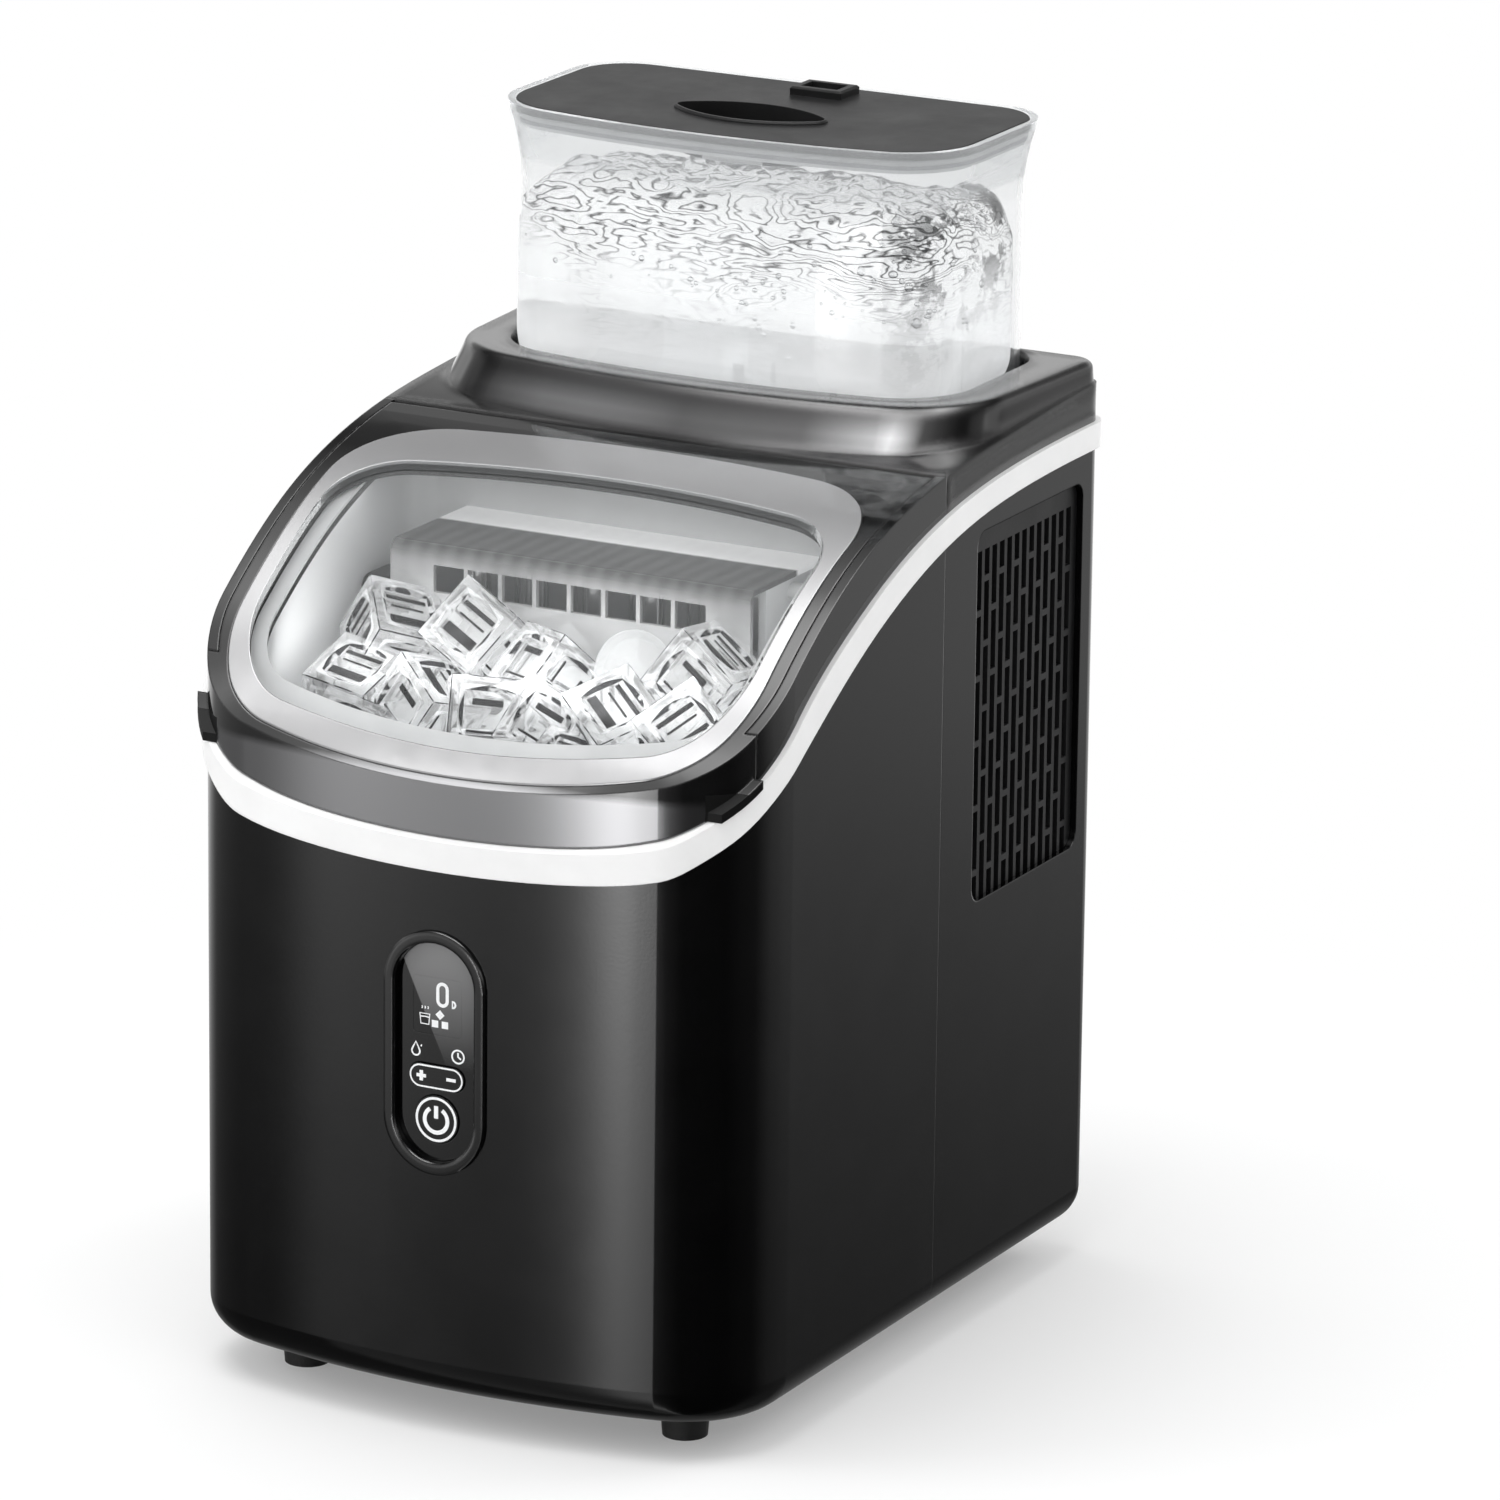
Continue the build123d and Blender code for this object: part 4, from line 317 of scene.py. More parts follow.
def cover_finish():
    """Grey cover whose top steps from a rear with painted light, which also glows, to a front edge painted
    dark as shade, with faint upright ribs.
    """
    finish, tree, _, place, shader = moulded_base(
        "cover_grey", (0.46, 0.46, 0.463), (0.52, 0.52, 0.523), 0.36, moulding=1400, depth=0.06)
    depth_of = axes(tree, place)["Y"]
    step_front, step_rear = -0.0165, -0.0145
    ribs = add_node(tree, "TexWave", {"Vector": place, "Scale": 42.0, "Distortion": 0.6}).outputs["Fac"]
    # Painted light and shade: the top is painted dark at its front edge, where shade falls, and pale at its
    # rear, where light falls.
    painted_light_and_shade_tone = calc(tree, "ADD", remap(tree, depth_of, step_front, step_rear, 0.012, 0.90),
                    remap(tree, ribs, 0.0, 1.0, 0.0, 0.045))
    towards_top = by_height(tree, place, [(0.2760, 0.0), (0.2900, 0.6), (0.2950, 1.0)])
    tint_over(tree, shader, towards_top, painted_light_and_shade_tone)
    # Painted light: the rear of the top glows, though it is no lamp.
    painted_glow_behind = remap(tree, depth_of, step_front, step_rear, 0.0, 0.31)
    shader.inputs["Emission Color"].default_value = (0.93, 0.93, 0.935, 1)
    tree.links.new(painted_glow_behind, shader.inputs["Emission Strength"])
    return finish


def panel_finish():
    """Smoked panel with a painted reflection that lightens it towards its upper right, from a slanting
    line.
    """
    finish, tree, _, place, shader = moulded_base(
        "smoked_panel_painted_reflection", *black_tones, 0.06, moulding=400, depth=0.004, coat=0.4, edge=0.0003)
    at = axes(tree, place)
    # Painted reflection: a pale grey laid over the face above a slanting line, fading out downwards.
    steepness, dark_side, light_side = 2.15, 0.1445, 0.1455
    painted_reflection_side = remap(tree, calc(tree, "MULTIPLY_ADD", at["X"], steepness, at["Z"]), dark_side, light_side)
    painted_reflection_fade = graded(tree, at["Z"], [(0.136, 0.0), (0.152, 0.35), (0.182, 1.0)])
    tint_over(tree, shader, calc(tree, "MULTIPLY", painted_reflection_side, painted_reflection_fade), (0.22, 0.22, 0.222, 1))
    return finish


def deck_finish():
    """Gloss black deck with a painted sheen: a metallic band on its front slope, uneven across its width,
    that stands in for highlights.
    """
    finish, tree, output, place, gloss = moulded_base(
        "deck_black", *black_tones, 0.08, moulding=500, depth=0.004, coat=0.3, edge=0.007)
    painted_sheen = first_output(tree, "BsdfPrincipled", {
        "Base Color": (0.34, 0.34, 0.345, 1),
        "Metallic": 1.0,
        "Roughness": 0.27,
    })
    at = axes(tree, place)
    # Painted sheen: the band's reach up the slope, across the width and back to the rear is drawn to place
    # highlights.
    up_slope = [(0.3290, 0.0), (0.3320, 0.85), (0.3355, 1.0), (0.3410, 0.30), (0.3455, 0.0)]
    across = [(-0.090, 0.0), (-0.072, 0.75), (-0.055, 1.0), (-0.034, 0.80), (0.004, 0.22), (0.052, 0.12),
              (0.070, 0.40), (0.084, 0.65), (0.094, 0.0)]
    to_rear = [(0.010, 1.0), (0.044, 1.0), (0.050, 0.0)]
    share = graded(tree, at["Z"], up_slope)
    for axis, points in (("X", across), ("Y", to_rear)):
        share = calc(tree, "MULTIPLY", share, graded(tree, at[axis], points))
    tree.links.new(mix_shaders(tree, share, gloss.outputs["BSDF"], painted_sheen), output.inputs["Surface"])
    return finish


def tank_plate_finish():
    """Tank lid with pale sides and a dark top, and painted shade through the depth of its grip."""
    finish, tree, _, place, shader = moulded_base(
        "tank_plate", (0.64, 0.64, 0.645), (0.70, 0.70, 0.705), 0.42, moulding=2400, depth=0.2,
        specular=0.12, edge=0.0005)
    drift = grain(tree, place, 45.0, 4.0, 0.6)
    dark = two_tones(tree, drift, (0.011, 0.011, 0.0112), (0.015, 0.015, 0.0153))
    at = axes(tree, place)
    plate_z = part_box("water_tank")[1].z
    split_z, soft = plate_z - 0.0034, 0.0006
    above = graded(tree, at["Z"], [(split_z - soft, 0.0), (split_z + soft, 1.0)])
    # Painted shade: the recess of the grip is painted dark through its depth, where shade falls.
    grip_y, grip_half_depth, grip_half_width = 0.0905, 0.020, 0.045
    shaded_grip_depth = calc(tree, "COMPARE", at["Y"], grip_y, grip_half_depth)
    shaded_grip_width = calc(tree, "COMPARE", at["X"], 0.0, grip_half_width)
    tint_over(tree, shader, calc(tree, "MULTIPLY_ADD", shaded_grip_depth, shaded_grip_width, above, clamp=True), dark)
    return finish


ice_tint, ice_haze_tint = (0.985, 0.988, 0.99), (0.98, 0.985, 0.99)
finishes["lid_black"] = lid_finish()
panel_painted_reflection = panel_finish()
tank_clear = clear("tank_clear", (0.97, 0.975, 0.978), 0.02, 1.33, ripple=45, depth=0.04,
                   haze=[(0.33, 0.02), (0.405, 0.02), (0.4135, 0.10), (0.416, 0.26), (0.436, 0.22)])
lid_glass = clear("lid_window_clear", (0.97, 0.975, 0.975), 0.03, 1.12, ripple=90, depth=0.03,
                  haze=[(0.240, 0.01), (0.278, 0.015), (0.293, 0.035), (0.300, 0.055), (0.312, 0.065)])
water_clear = clear("fresh_water", (0.985, 0.988, 0.99), 0.0, 1.22, haze_tint=(0.97, 0.975, 0.98),
                    ripple=90, depth=0.25, see_through=0.06, painted_glow=0.20, lines=painted_wave_shade,
                    haze=[(0.329, 0.90), (0.345, 0.74), (0.362, 0.38), (0.385, 0.14), (0.404, 0.08),
                          (0.42, 0.08)])
bubble_skin = clear("bubble_skin", (0.98, 0.985, 0.99), 0.0, 0.76, haze=0.03, ripple=300, depth=0.02)
ice_clear = clear("clear_ice", ice_tint, 0.01, 1.31, haze=0.24, haze_tint=ice_haze_tint, ripple=160,
                  depth=0.14, see_through=0.26, painted_glow=0.14)
ice_edge = clear("ice_edge", ice_tint, 0.01, 1.31, haze=0.30, haze_tint=ice_haze_tint, ripple=160,
                 depth=0.14, painted_glow=0.10, lines=painted_edge_shade)
# Painted shade: the dark finish of the bars inside the ice.
ice_shade_bars = moulded("ice_shade_bars", (0.004, 0.004, 0.004), (0.03, 0.03, 0.031), 0.30, moulding=300,
                     depth=0.3, weld=90, specular=0.2)
packed_ice = moulded("packed_ice", (0.60, 0.605, 0.61), (0.80, 0.805, 0.81), 0.22, moulding=260, depth=0.5,
                     weld=70, coat=0.6)
print_white = moulded("print_white", (0.85, 0.86, 0.87), (0.90, 0.91, 0.92), 0.45, moulding=3000,
                      depth=0.05)

own_finish = {
    "bin_seal": moulded("seal_pale", (0.60, 0.605, 0.61), (0.68, 0.685, 0.69), 0.5, moulding=1800,
                        depth=0.2),
    "control_bezel": moulded("bezel_black", *black_tones, 0.07, moulding=500, depth=0.004, coat=0.6,
                             edge=0.0016),
    "control_face": panel_painted_reflection,
    "display_window": panel_painted_reflection,
    "evaporator_cover": cover_finish(),
    "lid_window": lid_glass,
    "rear_deck": deck_finish(),
    "tank_lid": tank_plate_finish(),
    "water_tank": tank_clear,
}
slot_of = {part["node"]: part["material_slot"] for part in frame["record"]["subparts"]}
for node_name, piece in nodes.items():
    piece.data.materials.clear()
    piece.data.materials.append(own_finish.get(node_name) or finishes[slot_of[node_name]])


# ---------------------------------------------------------------- workshop helpers
def rest_selection():
    """Nothing selected and no piece being edited."""
    if bpy.context.object and bpy.context.object.mode != "OBJECT":
        bpy.ops.object.mode_set(mode="OBJECT")
    bpy.ops.object.select_all(action="DESELECT")


def take(piece):
    """Only this piece selected and active."""
    rest_selection()
    piece.select_set(True)
    bpy.context.view_layer.objects.active = piece


def settle(piece):
    """Place, turn and size go into the mesh, so that the piece sits at the origin."""
    take(piece)
    bpy.ops.object.transform_apply(location=True, rotation=True, scale=True)


def add_modifier(piece, kind, **values):
    """Adds a modifier, sets it and applies it."""
    take(piece)
    modifier = piece.modifiers.new(kind.lower(), kind)
    for key, value in values.items():
        setattr(modifier, key, value)
    bpy.ops.object.modifier_apply(modifier=modifier.name)


def dress(piece, name, body, finish, angle=35.0):
    """Name, finish, smooth shading and the body the piece rides on."""
    settle(piece)
    piece.name = name
    piece.data.name = name
    piece.data.materials.clear()
    piece.data.materials.append(finish)
    if angle:
        bpy.ops.object.shade_smooth_by_angle(angle=radians(angle))
    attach(piece, body)
    rest_selection()


def block(size, place=(0, 0, 0)):
    """A box of the given size around a place."""
    bpy.ops.mesh.primitive_cube_add(size=1, location=place)
    box = bpy.context.object
    box.scale = size
    bpy.ops.object.transform_apply(location=True, rotation=True, scale=True)
    return box


def copy_of(piece):
    """A copy of a piece with a mesh of its own."""
    take(piece)
    bpy.ops.object.duplicate(linked=False)
    return bpy.context.object


def join(parts):
    """Several pieces made one."""
    rest_selection()
    for part in parts:
        part.select_set(True)
    bpy.context.view_layer.objects.active = parts[0]
    bpy.ops.object.join()
    return bpy.context.object


def remove(piece):
    """A template or a cutter taken away once it is used."""
    take(piece)
    bpy.ops.object.delete()


# ---------------------------------------------------------------- camera
def studio_camera():
    """Long lens from the front right, a little above, tipped by less than a degree."""
    azimuth, elevation, roll = radians(27.52), radians(16.14), radians(0.68)
    distance, aim_height, aim_right, aim_up = 3.411, 0.200, 0.0413, 0.0156
    back = Vector((sin(azimuth) * cos(elevation), -cos(azimuth) * cos(elevation), sin(elevation)))
    right = Vector((cos(azimuth), sin(azimuth), 0))
    up = back.cross(right)
    target = Vector((0, 0, aim_height)) + aim_right * right + aim_up * up
    tilted_right = cos(roll) * right + sin(roll) * up
    tilted_up = -sin(roll) * right + cos(roll) * up
    camera_data = bpy.data.cameras.new("studio_camera")
    camera_data.lens = 225.6
    camera_data.sensor_width = 36
    camera_data.clip_start = 0.1
    camera_data.clip_end = 100
    camera = bpy.data.objects.new("studio_camera", camera_data)
    turn = Matrix((tilted_right, tilted_up, back)).transposed().to_4x4()
    camera.matrix_world = Matrix.Translation(target + distance * back) @ turn
    scene.collection.objects.link(camera)
    scene.camera = camera


studio_camera()
scene.view_settings.view_transform = "Standard"


# ---------------------------------------------------------------- studio
# (height of the direction, level): how the low part of the room brightens upwards
studio_fall = [(-0.36, 0.36), (-0.340, 0.42), (-0.324, 0.58), (-0.303, 1.0), (-0.291, 1.25),
               (-0.282, 1.6), (-0.273, 2.3), (-0.25, 2.6), (-0.2, 2.6)]
# (height of the direction, level): the room above the floor, its dark band and the lamps overhead
studio_heights = [(-0.1, 0.5), (0.02, 0.4), (0.10, 0.8), (0.24, 1.1), (0.30, 1.4), (0.36, 0.6),
                  (0.50, 0.4), (0.56, 0.14), (0.64, 0.14), (0.72, 0.35), (0.80, 0.75), (0.86, 1.4),
                  (0.90, 4.5), (0.95, 9.5), (1.0, 4.0)]
# (bearing in degrees from the front, positive to the right, level): the low part of the room, all round
studio_sides = [
    (-180, 0.10), (-136, 0.102), (-130, 0.09), (-118, 0.066), (-112, 0.044), (-106, 0.034),
    (-53, 0.036), (-50, 0.05), (-47, 0.11), (-44.5, 0.15), (-40, 0.148), (-33, 0.125), (-21, 0.10),
    (-17, 0.115), (-13, 0.18), (-11, 0.29), (-9, 0.52), (-7, 0.84), (-5.2, 0.90), (-3.2, 0.20),
    (-1.5, 0.05), (8, 0.026), (23, 0.008), (68, 0.004), (85, 0.010), (100, 0.013), (110, 0.032),
    (120, 0.05), (138, 0.05), (152, 0.04), (170, 0.09), (180, 0.09),
]
side_strength, fall_scale, height_scale = 5.0, 4.0, 10.0
ambient_strength = 0.72


def seen_directly(tree):
    """One for what the camera sees itself or through a clear piece, otherwise nought."""
    rays = add_node(tree, "LightPath", {}).outputs
    return calc(tree, "MAXIMUM", rays["Is Camera Ray"], rays["Is Transmission Ray"])


def studio_world():
    """White cove for the camera and through clear pieces; in polished faces, its bright and dark sides."""
    world = bpy.data.worlds.new("studio")
    scene.world = world
    world.use_nodes = True
    tree = world.node_tree
    tree.nodes.clear()
    output = add_node(tree, "OutputWorld", {})
    at = axes(tree, add_node(tree, "TexCoord", {}).outputs["Generated"])
    bearing = calc(tree, "ARCTAN2", at["X"], calc(tree, "MULTIPLY", at["Y"], -1))
    sides = graded(tree, bearing, [(radians(degrees), level) for degrees, level in studio_sides])
    fall_share = graded(tree, at["Z"], studio_fall, fall_scale)
    fall = calc(tree, "MULTIPLY", fall_share, side_strength * fall_scale)
    heights = graded(tree, at["Z"], studio_heights, height_scale)
    low_world = first_output(tree, "Background", {"Color": sides, "Strength": fall})
    high_world = first_output(tree, "Background", {"Color": heights, "Strength": height_scale})
    polished = mix_shaders(tree, remap(tree, at["Z"], -0.10, 0.02), low_world, high_world)
    ambient = first_output(tree, "Background", {"Color": (1, 1, 1, 1), "Strength": ambient_strength})
    white = first_output(tree, "Background", {"Color": (1, 1, 1, 1), "Strength": 1.0})
    glossy_ray = add_node(tree, "LightPath", {}).outputs["Is Glossy Ray"]
    lit = mix_shaders(tree, glossy_ray, ambient, polished)
    tree.links.new(mix_shaders(tree, seen_directly(tree), lit, white), output.inputs["Surface"])


def softbox(name, place, aim, width, height, power):
    """Soft rectangular lamp turned towards a point, not seen in polished faces."""
    lamp = bpy.data.lights.new(name, "AREA")
    lamp.shape = "RECTANGLE"
    lamp.size = width
    lamp.size_y = height
    lamp.energy = power
    holder = bpy.data.objects.new(name, lamp)
    holder.location = place
    holder.rotation_euler = (Vector(aim) - Vector(place)).to_track_quat("-Z", "Y").to_euler()
    holder.visible_glossy = False
    holder.visible_camera = False
    holder.visible_transmission = False
    scene.collection.objects.link(holder)


def studio_floor():
    """White floor that keeps a soft shadow near the machine and turns pure white away from it."""
    bpy.ops.mesh.primitive_circle_add(vertices=96, radius=9.0, fill_type="NGON", location=(0, 0, 0))
    floor = bpy.context.object
    floor.name = "studio_floor"
    finish, tree, output, place = new_finish("studio_floor_paint")
    tones = two_tones(tree, grain(tree, place, 3.0), (0.90, 0.90, 0.90), (0.91, 0.91, 0.91))
    paint = first_output(tree, "BsdfDiffuse", {"Color": tones})
    lift = first_output(tree, "Emission", {"Strength": 1.0})
    distance = add_node(tree, "VectorMath", {0: place}, operation="LENGTH").outputs["Value"]
    reach = remap(tree, distance, 0.12, 0.55, 0.25, 1.0, interpolation_type="SMOOTHSTEP")
    share = calc(tree, "MULTIPLY", reach, seen_directly(tree))
    tree.links.new(mix_shaders(tree, share, paint, lift), output.inputs["Surface"])
    floor.data.materials.append(finish)
    floor.visible_glossy = False


studio_world()
softbox("overhead_softbox", (-0.25, -0.35, 2.1), (0, 0, 0.2), 1.7, 1.3, 22)
softbox("left_softbox", (-1.9, -1.2, 1.2), (0, 0, 0.2), 0.9, 1.4, 14)
softbox("bin_softbox", (0, -0.098, 0.270), (0, -0.02, 0.240), 0.16, 0.02, 0.085)
softbox("rear_softbox", (1.3, 1.6, 1.5), (0, 0, 0.3), 1.2, 1.2, 14)
studio_floor()


# ---------------------------------------------------------------- panel artwork
def stroke(points, width, closed=False):
    """A printed line along points given across and up the panel, its width in mm."""
    bpy.ops.mesh.primitive_circle_add(vertices=max(len(points), 3), radius=1, fill_type="NOTHING")
    line = bpy.context.object
    if not closed:
        bpy.ops.object.mode_set(mode="EDIT")
        bpy.ops.mesh.select_all(action="DESELECT")
        bpy.ops.object.mode_set(mode="OBJECT")
        last = len(line.data.vertices) - 1
        for edge in line.data.edges:
            edge.select = set(edge.vertices) == {0, last}
        bpy.ops.object.mode_set(mode="EDIT")
        bpy.ops.mesh.select_mode(type="EDGE")
        bpy.ops.mesh.delete(type="EDGE")
        bpy.ops.mesh.select_mode(type="VERT")
        bpy.ops.object.mode_set(mode="OBJECT")
    for vertex, (x, z) in zip(line.data.vertices, points):
        vertex.co = (x, 0, z)
    take(line)
    bpy.ops.object.convert(target="CURVE")
    line = bpy.context.object
    line.data.bevel_depth = width * mm / 2
    line.data.bevel_resolution = 1
    line.data.use_fill_caps = True
    bpy.ops.object.convert(target="MESH")
    return bpy.context.object


def spots(x, z, *steps):
    """Points given in mm from a place on the panel."""
    return [(x + dx * mm, z + dz * mm) for dx, dz in steps]


def arc(x, z, radius, start, end, count):
    """Points round a place, radius in mm, angles in degrees from the right, going round anticlockwise."""
    turns = [radians(start + (end - start) * i / (count - 1)) for i in range(count)]
    return [(x + radius * mm * cos(t), z + radius * mm * sin(t)) for t in turns]


def middle(box):
    """X and Z of the middle of a box."""
    low, high = box
    return (low.x + high.x) / 2, (low.z + high.z) / 2


def printed(parts, name, node, body):
    """Lines laid flat on a face of the panel, just proud of it."""
    art = join(parts)
    low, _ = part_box(node)
    xs = [vertex.co.x for vertex in art.data.vertices]
    zs = [vertex.co.z for vertex in art.data.vertices]
    before = Vector(((min(xs) + max(xs)) / 2, low.y - 20 * mm, (min(zs) + max(zs)) / 2))
    hit, point, _, _ = nodes[node].ray_cast(before, Vector((0, 1, 0)))
    front = point.y if hit else low.y
    flatness, proud = 0.12, 0.06 * mm
    for vertex in art.data.vertices:
        vertex.co.y = vertex.co.y * flatness + front - proud
    dress(art, name, body, print_white, angle=60)


def panel_print():
    """Power symbol, plus and minus in their pill, drop and clock, and the display's signs."""
    x, z = middle(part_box("power_button"))
    printed([stroke(arc(x, z, 7.8, 0, 352.5, 48), 1.05, closed=True),
             stroke(arc(x, z - 0.2 * mm, 4.6, 122, 418, 28), 1.75),
             stroke(spots(x, z, (0, 0.4), (0, 2.6), (0, 5.0)), 1.7)],
            "power_symbol", "power_button", "power_key")

    low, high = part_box("plus_minus_key")
    x, z = middle((low, high))
    inset = 0.6 * mm
    half, bow = (high.x - low.x) / 2 - inset, (high.z - low.z) / 2 - inset
    pill = arc(x + half - bow, z, bow / mm, -90, 90, 15) + arc(x - half + bow, z, bow / mm, 90, 270, 15)
    printed([stroke(pill, 0.72, closed=True),
             stroke(spots(x, z, (-7.9, 0), (-6.0, 0), (-4.1, 0)), 1.45),
             stroke(spots(x, z, (-6.0, -1.9), (-6.0, 0), (-6.0, 1.9)), 1.45),
             stroke(spots(x, z, (4.1, 0), (6.0, 0), (7.9, 0)), 1.4)],
            "level_symbols", "plus_minus_key", "level_key")

    drop_x, clock_x, z = -8.6 * mm, 8.4 * mm, 0.1413
    drop = arc(drop_x, z - 0.3 * mm, 1.6, 150, 390, 13) + [(drop_x, z + 3.2 * mm)]
    printed([stroke(drop, 0.75, closed=True),
             stroke(spots(0, z, (-6.6, 1.6), (-6.4, 1.9), (-6.3, 2.3)), 0.6),
             stroke(arc(clock_x, z, 2.4, 0, 345, 24), 0.75, closed=True),
             stroke(spots(clock_x, z, (0, 1.5), (0, 0), (1.2, -0.8)), 0.8)],
            "status_symbols", "control_face", "casing")

    x, z = middle(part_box("display_window"))
    nought_x, top_z, foot_z = x + 2.1 * mm, z + 6.7 * mm, z + 2.5 * mm
    nought = arc(nought_x, top_z, 1.9, 0, 180, 9) + arc(nought_x, foot_z, 1.9, 180, 360, 9)
    cup_x, cup_z = x - 5.0 * mm, z - 4.8 * mm
    cup = spots(cup_x, cup_z, (-2.0, 1.6), (-1.6, -2.2), (1.6, -2.2), (2.0, 1.6))
    parts = [stroke(nought, 1.45, closed=True),
             stroke(arc(x + 6.1 * mm, z + 1.6 * mm, 1.2, -90, 90, 7), 0.9, closed=True),
             stroke(cup, 0.55, closed=True),
             stroke(spots(cup_x, cup_z, (-1.8, 0.4), (0, 0.5), (1.8, 0.4)), 0.5)]
    for steam_x in (-1.2, 0, 1.2):
        parts.append(stroke(spots(cup_x + steam_x * mm, cup_z, (0, 3.4), (0.25, 3.9), (0, 4.4)), 0.5))
    for dx, dz, tilt in ((-0.9, -1.6, 45), (3.1, -1.6, 45), (1.1, 1.9, 0)):
        cube_x, cube_z = x + dx * mm, cup_z + dz * mm
        parts.append(stroke(arc(cube_x, cube_z, 1.3, tilt, tilt + 270, 4), 1.2, closed=True))
        parts.append(stroke(spots(cube_x, cube_z, (-0.6, 0), (0, 0), (0.6, 0)), 1.4))
    printed(parts, "display_symbols", "display_window", "casing")


panel_print()


# ---------------------------------------------------------------- ice
def ice_skins(piece):
    """The finishes that ice cubes use, in the order of their material index."""
    for finish in (ice_clear, ice_shade_bars, ice_edge):
        piece.data.materials.append(finish)


def ice_cube(size, bars):
    """A clear cube with soft edges, a moulded hollow in each face, and dark bars behind them as painted
    shade.
    """
    bpy.ops.mesh.primitive_cube_add(size=size)
    cube = bpy.context.object
    bpy.ops.object.mode_set(mode="EDIT")
    bpy.ops.mesh.select_all(action="SELECT")
    bpy.ops.mesh.inset(thickness=size * 0.14, depth=0, use_individual=True)
    bpy.ops.mesh.inset(thickness=size * 0.05, depth=-size * 0.06, use_individual=True)
    bpy.ops.object.mode_set(mode="OBJECT")
    add_modifier(cube, "BEVEL", width=size * 0.045, segments=3, limit_method="ANGLE",
                 angle_limit=radians(30))
    add_modifier(cube, "SUBSURF", levels=1, render_levels=1)
    shade_bar_index, edge_index, slanted = 1, 2, 0.42
    for polygon in cube.data.polygons:
        if sorted(abs(part) for part in polygon.normal)[1] > slanted:
            polygon.material_index = edge_index
    parts = [cube]
    # Painted shade: dark opaque bars inside the clear ice, where it shows only dark refraction.
    bar_depth, bar_place = size * 0.03, size * 0.432
    for turn_x, turn_y, offsets in bars:
        for offset, length, width in offsets:
            bar = block((size * length, size * width, bar_depth))
            add_modifier(bar, "BEVEL", width=size * 0.012, segments=2)
            bar.location = (0, size * offset, bar_place)
            bpy.ops.object.transform_apply(location=True, rotation=True, scale=True)
            bar.rotation_euler = (radians(turn_x), radians(turn_y), 0)
            settle(bar)
            for polygon in bar.data.polygons:
                polygon.material_index = shade_bar_index
            ice_skins(bar)
            parts.append(bar)
    ice_skins(cube)
    cube = join(parts)
    bpy.ops.object.shade_smooth_by_angle(angle=radians(32))
    return cube


def ice_bullet(radius, length):
    """A domed bullet of ice, as the maker's fingers freeze it."""
    bpy.ops.mesh.primitive_uv_sphere_add(segments=24, ring_count=16, radius=radius)
    bullet = bpy.context.object
    for vertex in bullet.data.vertices:
        if vertex.co.z < 0:
            vertex.co.z *= (length - radius) / radius
    return bullet


def heap_height(y, front, rear, rim):
    """Height of the heap: 2 mm over the basket's rim in front, rising by 40 mm towards the cover."""
    share = min(1.0, max(0.0, (y - front) / (rear - front)))
    return rim + (2 + 40 * share**1.1) * mm


def ice_bed(low, high, front, rear):
    """Packed ice under the loose lumps: a block remeshed into a frosty, broken surface."""
    base, thick = low.z + 6 * mm, 10 * mm
    size = (high.x - low.x - 16 * mm, rear - front + 14 * mm, thick)
    bed = block(size, (0, (front + rear) / 2, base + thick / 2))
    add_modifier(bed, "REMESH", mode="VOXEL", voxel_size=2.4 * mm)
    sunk, shoulder, wall_gap, shoulder_width = 13 * mm, 8 * mm, 12 * mm, 14 * mm
    for vertex in bed.data.vertices:
        if vertex.co.z > base + 4 * mm:
            top = heap_height(vertex.co.y, front, rear, high.z) - sunk
            cells = noise.cell(Vector((vertex.co.x * 46, vertex.co.y * 46, 2.0)))
            rough = 3.5 * cells + 2.5 * noise.noise(vertex.co * 90)
            side = min(1.0, (high.x - wall_gap - abs(vertex.co.x)) / shoulder_width)
            vertex.co.z = top + rough * mm - shoulder * (1 - max(0.0, side))
    add_modifier(bed, "SMOOTH", factor=0.5, iterations=1)
    dress(bed, "packed_ice_bed", "basket", packed_ice, angle=40)


def ice_pile():
    """Loose cubes over packed ice, rising towards the cover that they slid down from, with some bullets."""
    low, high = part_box("ice_basket")
    rng = random.Random(23)
    wide = ((-0.17, 0.54, 0.14), (0.06, 0.46, 0.035), (0.21, 0.56, 0.07))
    fine = ((-0.22, 0.50, 0.035), (0.16, 0.40, 0.09))
    cube = ice_cube(28 * mm, ((0, 0, wide), (90, 0, fine), (0, 90, fine), (-90, 0, wide), (0, -90, wide)))
    bullet = ice_bullet(13.5 * mm, 29 * mm)
    bullet_places = ((0, 1), (2, 3))
    front, rear = low.y + 18.5 * mm, low.y + 62 * mm
    ice_bed(low, high, front, rear)
    span = (high.x - low.x) - 54 * mm
    count = 0
    for row, (setback, columns) in enumerate(((0, 5), (20, 6), (40, 5))):
        for column in range(columns):
            x = -span / 2 + column * span / (columns - 1)
            if columns == 5:
                x *= 0.94
            y = front + setback * mm
            z = heap_height(y, front, rear, high.z)
            if row == 2 and abs(x) < 15 * mm:
                y -= 6 * mm
                z -= 7 * mm
            lump = copy_of(bullet if (row, column) in bullet_places else cube)
            lump.location = (x + rng.uniform(-3, 3) * mm, y + rng.uniform(-1.5, 1.5) * mm,
                             z + rng.uniform(-3.5, 2.5) * mm)
            lump.rotation_euler = (rng.uniform(-0.9, 0.9), rng.uniform(-0.8, 0.8), rng.uniform(-0.9, 0.9))
            count += 1
            skin_of = [polygon.material_index for polygon in lump.data.polygons]
            dress(lump, f"ice_lump_{count:02d}", "basket", ice_clear, angle=None if max(skin_of) else 60)
            lump.data.materials.append(ice_shade_bars)
            lump.data.materials.append(ice_edge)
            lump.data.polygons.foreach_set("material_index", skin_of)
    remove(cube)
    remove(bullet)


ice_pile()


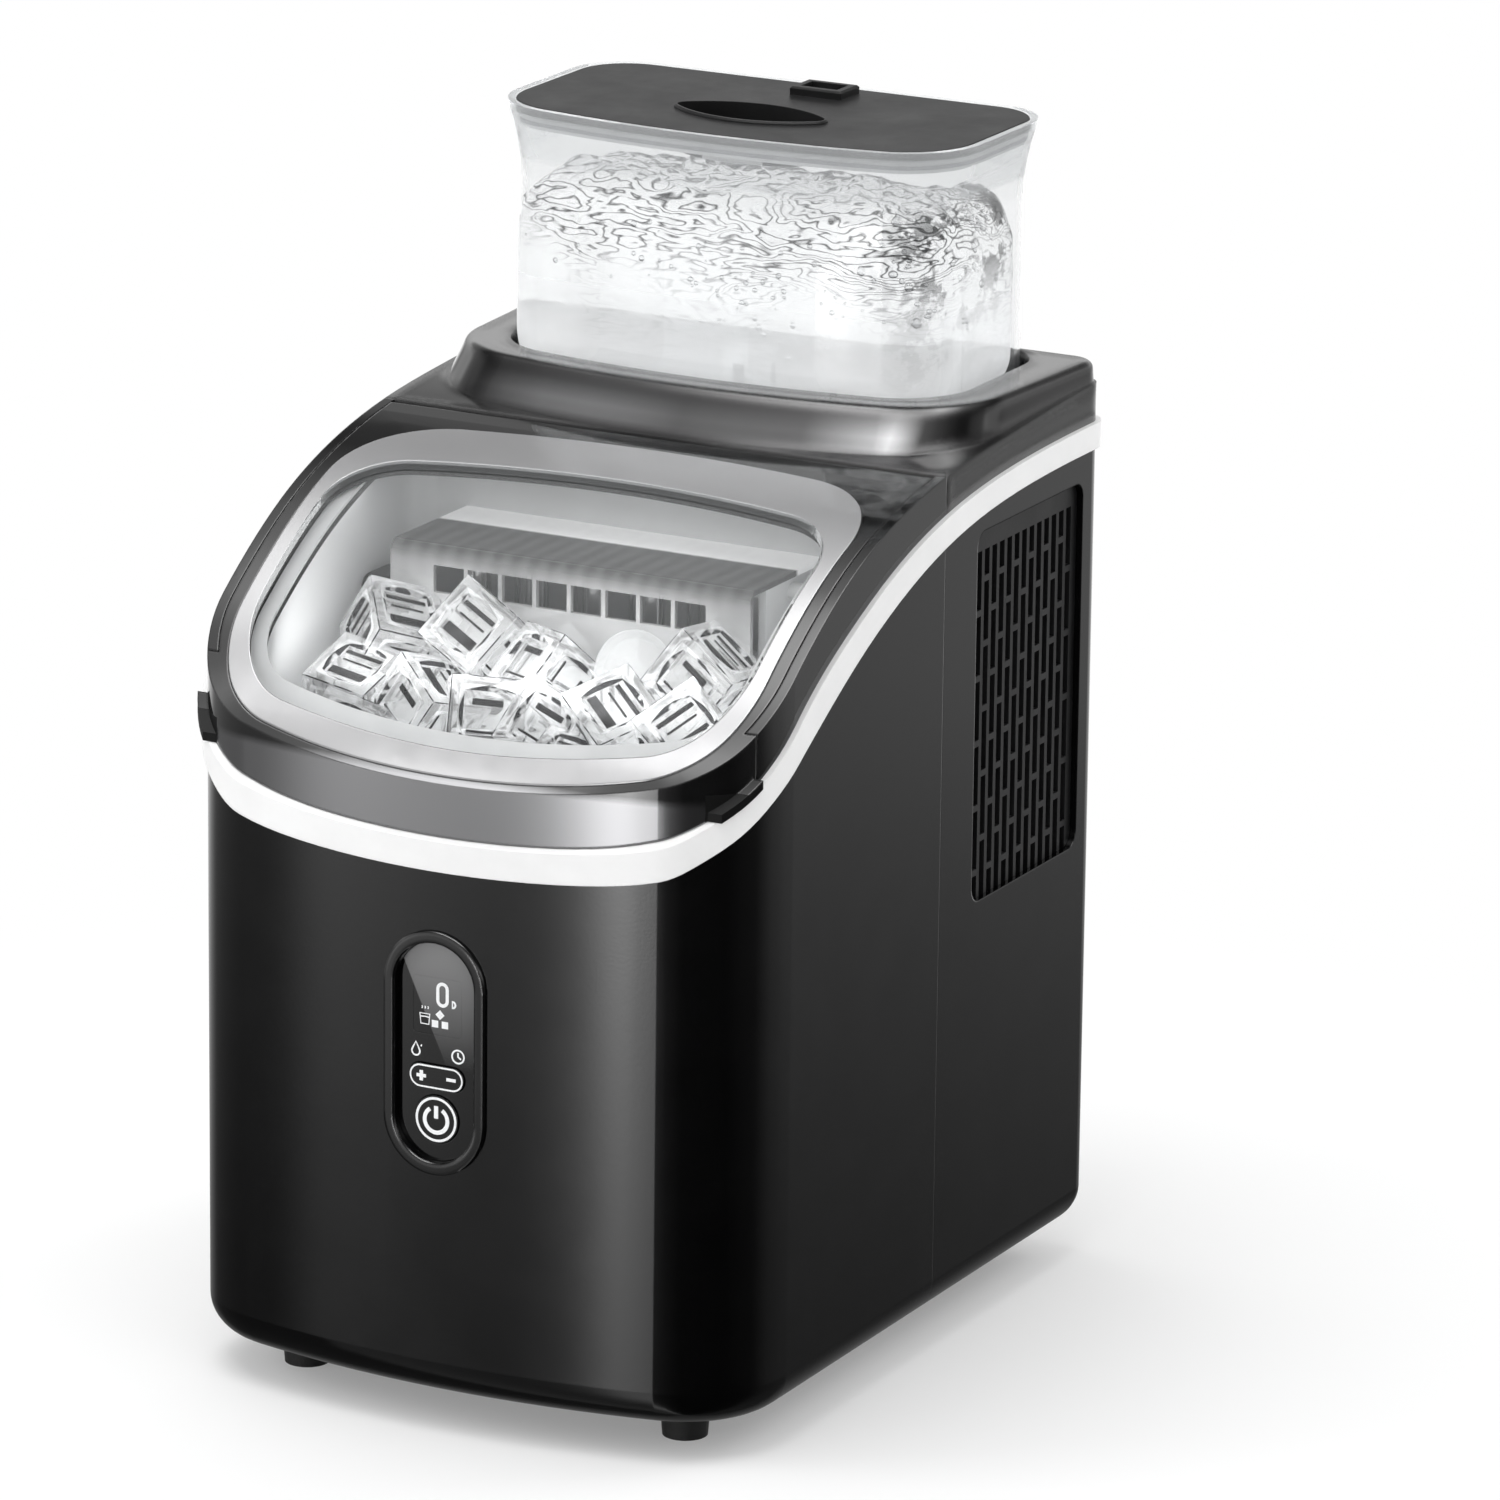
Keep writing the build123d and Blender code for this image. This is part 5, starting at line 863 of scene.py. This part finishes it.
# ---------------------------------------------------------------- rear screws
def rear_screws():
    """Domed screws with a cross recess that hold the rear housing, one near each corner."""
    low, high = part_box("rear_housing")
    head_radius, head_height, from_side, from_top, from_foot = 3.4 * mm, 1.8 * mm, 13 * mm, 20 * mm, 60 * mm
    bpy.ops.mesh.primitive_cylinder_add(vertices=32, radius=head_radius, depth=head_height)
    head = bpy.context.object
    add_modifier(head, "BEVEL", width=0.7 * mm, segments=4, limit_method="ANGLE", angle_limit=radians(40))
    for long_side, short_side in ((3.6, 0.8), (0.8, 3.6)):
        cutter = block((long_side * mm, short_side * mm, 1.4 * mm), (0, 0, head_height / 2))
        add_modifier(head, "BOOLEAN", object=cutter, operation="DIFFERENCE", solver="EXACT")
        remove(cutter)
    left, right, upper, lower = high.x - from_side, low.x + from_side, high.z - from_top, low.z + from_foot
    for index, (x, z) in enumerate(((left, upper), (right, upper), (left, lower), (right, lower))):
        screw = copy_of(head)
        screw.location = (x, high.y, z)
        screw.rotation_euler = (radians(-90), radians(25 * index), 0)
        dress(screw, f"rear_screw_{index + 1}", "casing", finishes["screw_steel"], angle=35)
    remove(head)


rear_screws()


# ---------------------------------------------------------------- water
def tank_water():
    """Water in the tank with a broken, splashing surface."""
    half_x, front, rear = 87.0 * mm, 51.6 * mm, 138.4 * mm
    base, level, stirred = 329.2 * mm, 408.0 * mm, 12 * mm
    water = block((2 * half_x, rear - front, level - base), (0, (front + rear) / 2, (base + level) / 2))
    bpy.ops.object.mode_set(mode="EDIT")
    bpy.ops.mesh.select_all(action="DESELECT")
    bpy.ops.object.mode_set(mode="OBJECT")
    for edge in water.data.edges:
        a, b = (water.data.vertices[i].co for i in edge.vertices)
        edge.select = abs(a.z - b.z) > 10 * mm
    bpy.ops.object.mode_set(mode="EDIT")
    bpy.ops.mesh.select_mode(type="EDGE")
    bpy.ops.mesh.bevel(offset=20 * mm, segments=8, affect="EDGES")
    bpy.ops.object.mode_set(mode="OBJECT")
    add_modifier(water, "REMESH", mode="VOXEL", voxel_size=1.3 * mm)
    waves = ((5.0, 26, 1.7), (3.4, 70, 4.2), (1.6, 190, 9.0))
    for vertex in water.data.vertices:
        if vertex.co.z > level - stirred:
            share = min(1.0, (vertex.co.z - (level - stirred)) / stirred)
            x, y = vertex.co.x, vertex.co.y
            lift = 0.0
            for height, pitch, layer in waves:
                lift += height * noise.noise(Vector((x * pitch, y * pitch, layer)))
            crest = max(0.0, 1 - abs(x + 0.02) / 0.07) * 1.5 + max(0.0, (x - 0.045) / 0.04) * 6.0
            vertex.co.z += share * (lift + crest) * mm
        side = 0.35 * noise.noise(vertex.co * 90)
        vertex.co.x += side * mm * (0 if abs(vertex.co.x) > half_x - 1 * mm else 1)
    add_modifier(water, "SMOOTH", factor=0.5, iterations=2)
    dress(water, "tank_water", "tank", water_clear, angle=80)
    water.visible_glossy = False


def tank_bubbles():
    """Air bubbles and droplets where the water churns: in front, in the middle and down the right side."""
    rng = random.Random(5)
    parts = []
    bpy.ops.mesh.primitive_ico_sphere_add(subdivisions=2, radius=1)
    seed = bpy.context.object
    left_end, right_end, lowest, highest = -80, 83, 338, 405
    for index in range(150):
        kind = ("front", "right", "middle")[index % 3]
        if kind == "front":
            x, y = rng.uniform(-78, 80), 54.2 + abs(rng.gauss(0, 1.2))
            z = 400 - abs(rng.gauss(0, 20))
        elif kind == "right":
            x, y = rng.uniform(58, 82), rng.uniform(58, 120)
            z = 404 - abs(rng.gauss(0, 24))
        else:
            x, y = rng.gauss(15, 22), 54.4 + abs(rng.gauss(0, 2.0))
            z = 385 - abs(rng.gauss(0, 18))
        if not (left_end < x < right_end and lowest < z < highest):
            continue
        radius = rng.uniform(0.35, 1.5) * (1.3 if kind == "right" else 0.9)
        bubble = copy_of(seed)
        bubble.location = (x * mm, y * mm, z * mm)
        bubble.scale = (radius * mm, radius * mm * 0.8, radius * mm * rng.uniform(0.7, 1.1))
        parts.append(bubble)
    remove(seed)
    dress(join(parts), "tank_bubbles", "tank", bubble_skin, angle=60)


tank_water()
tank_bubbles()
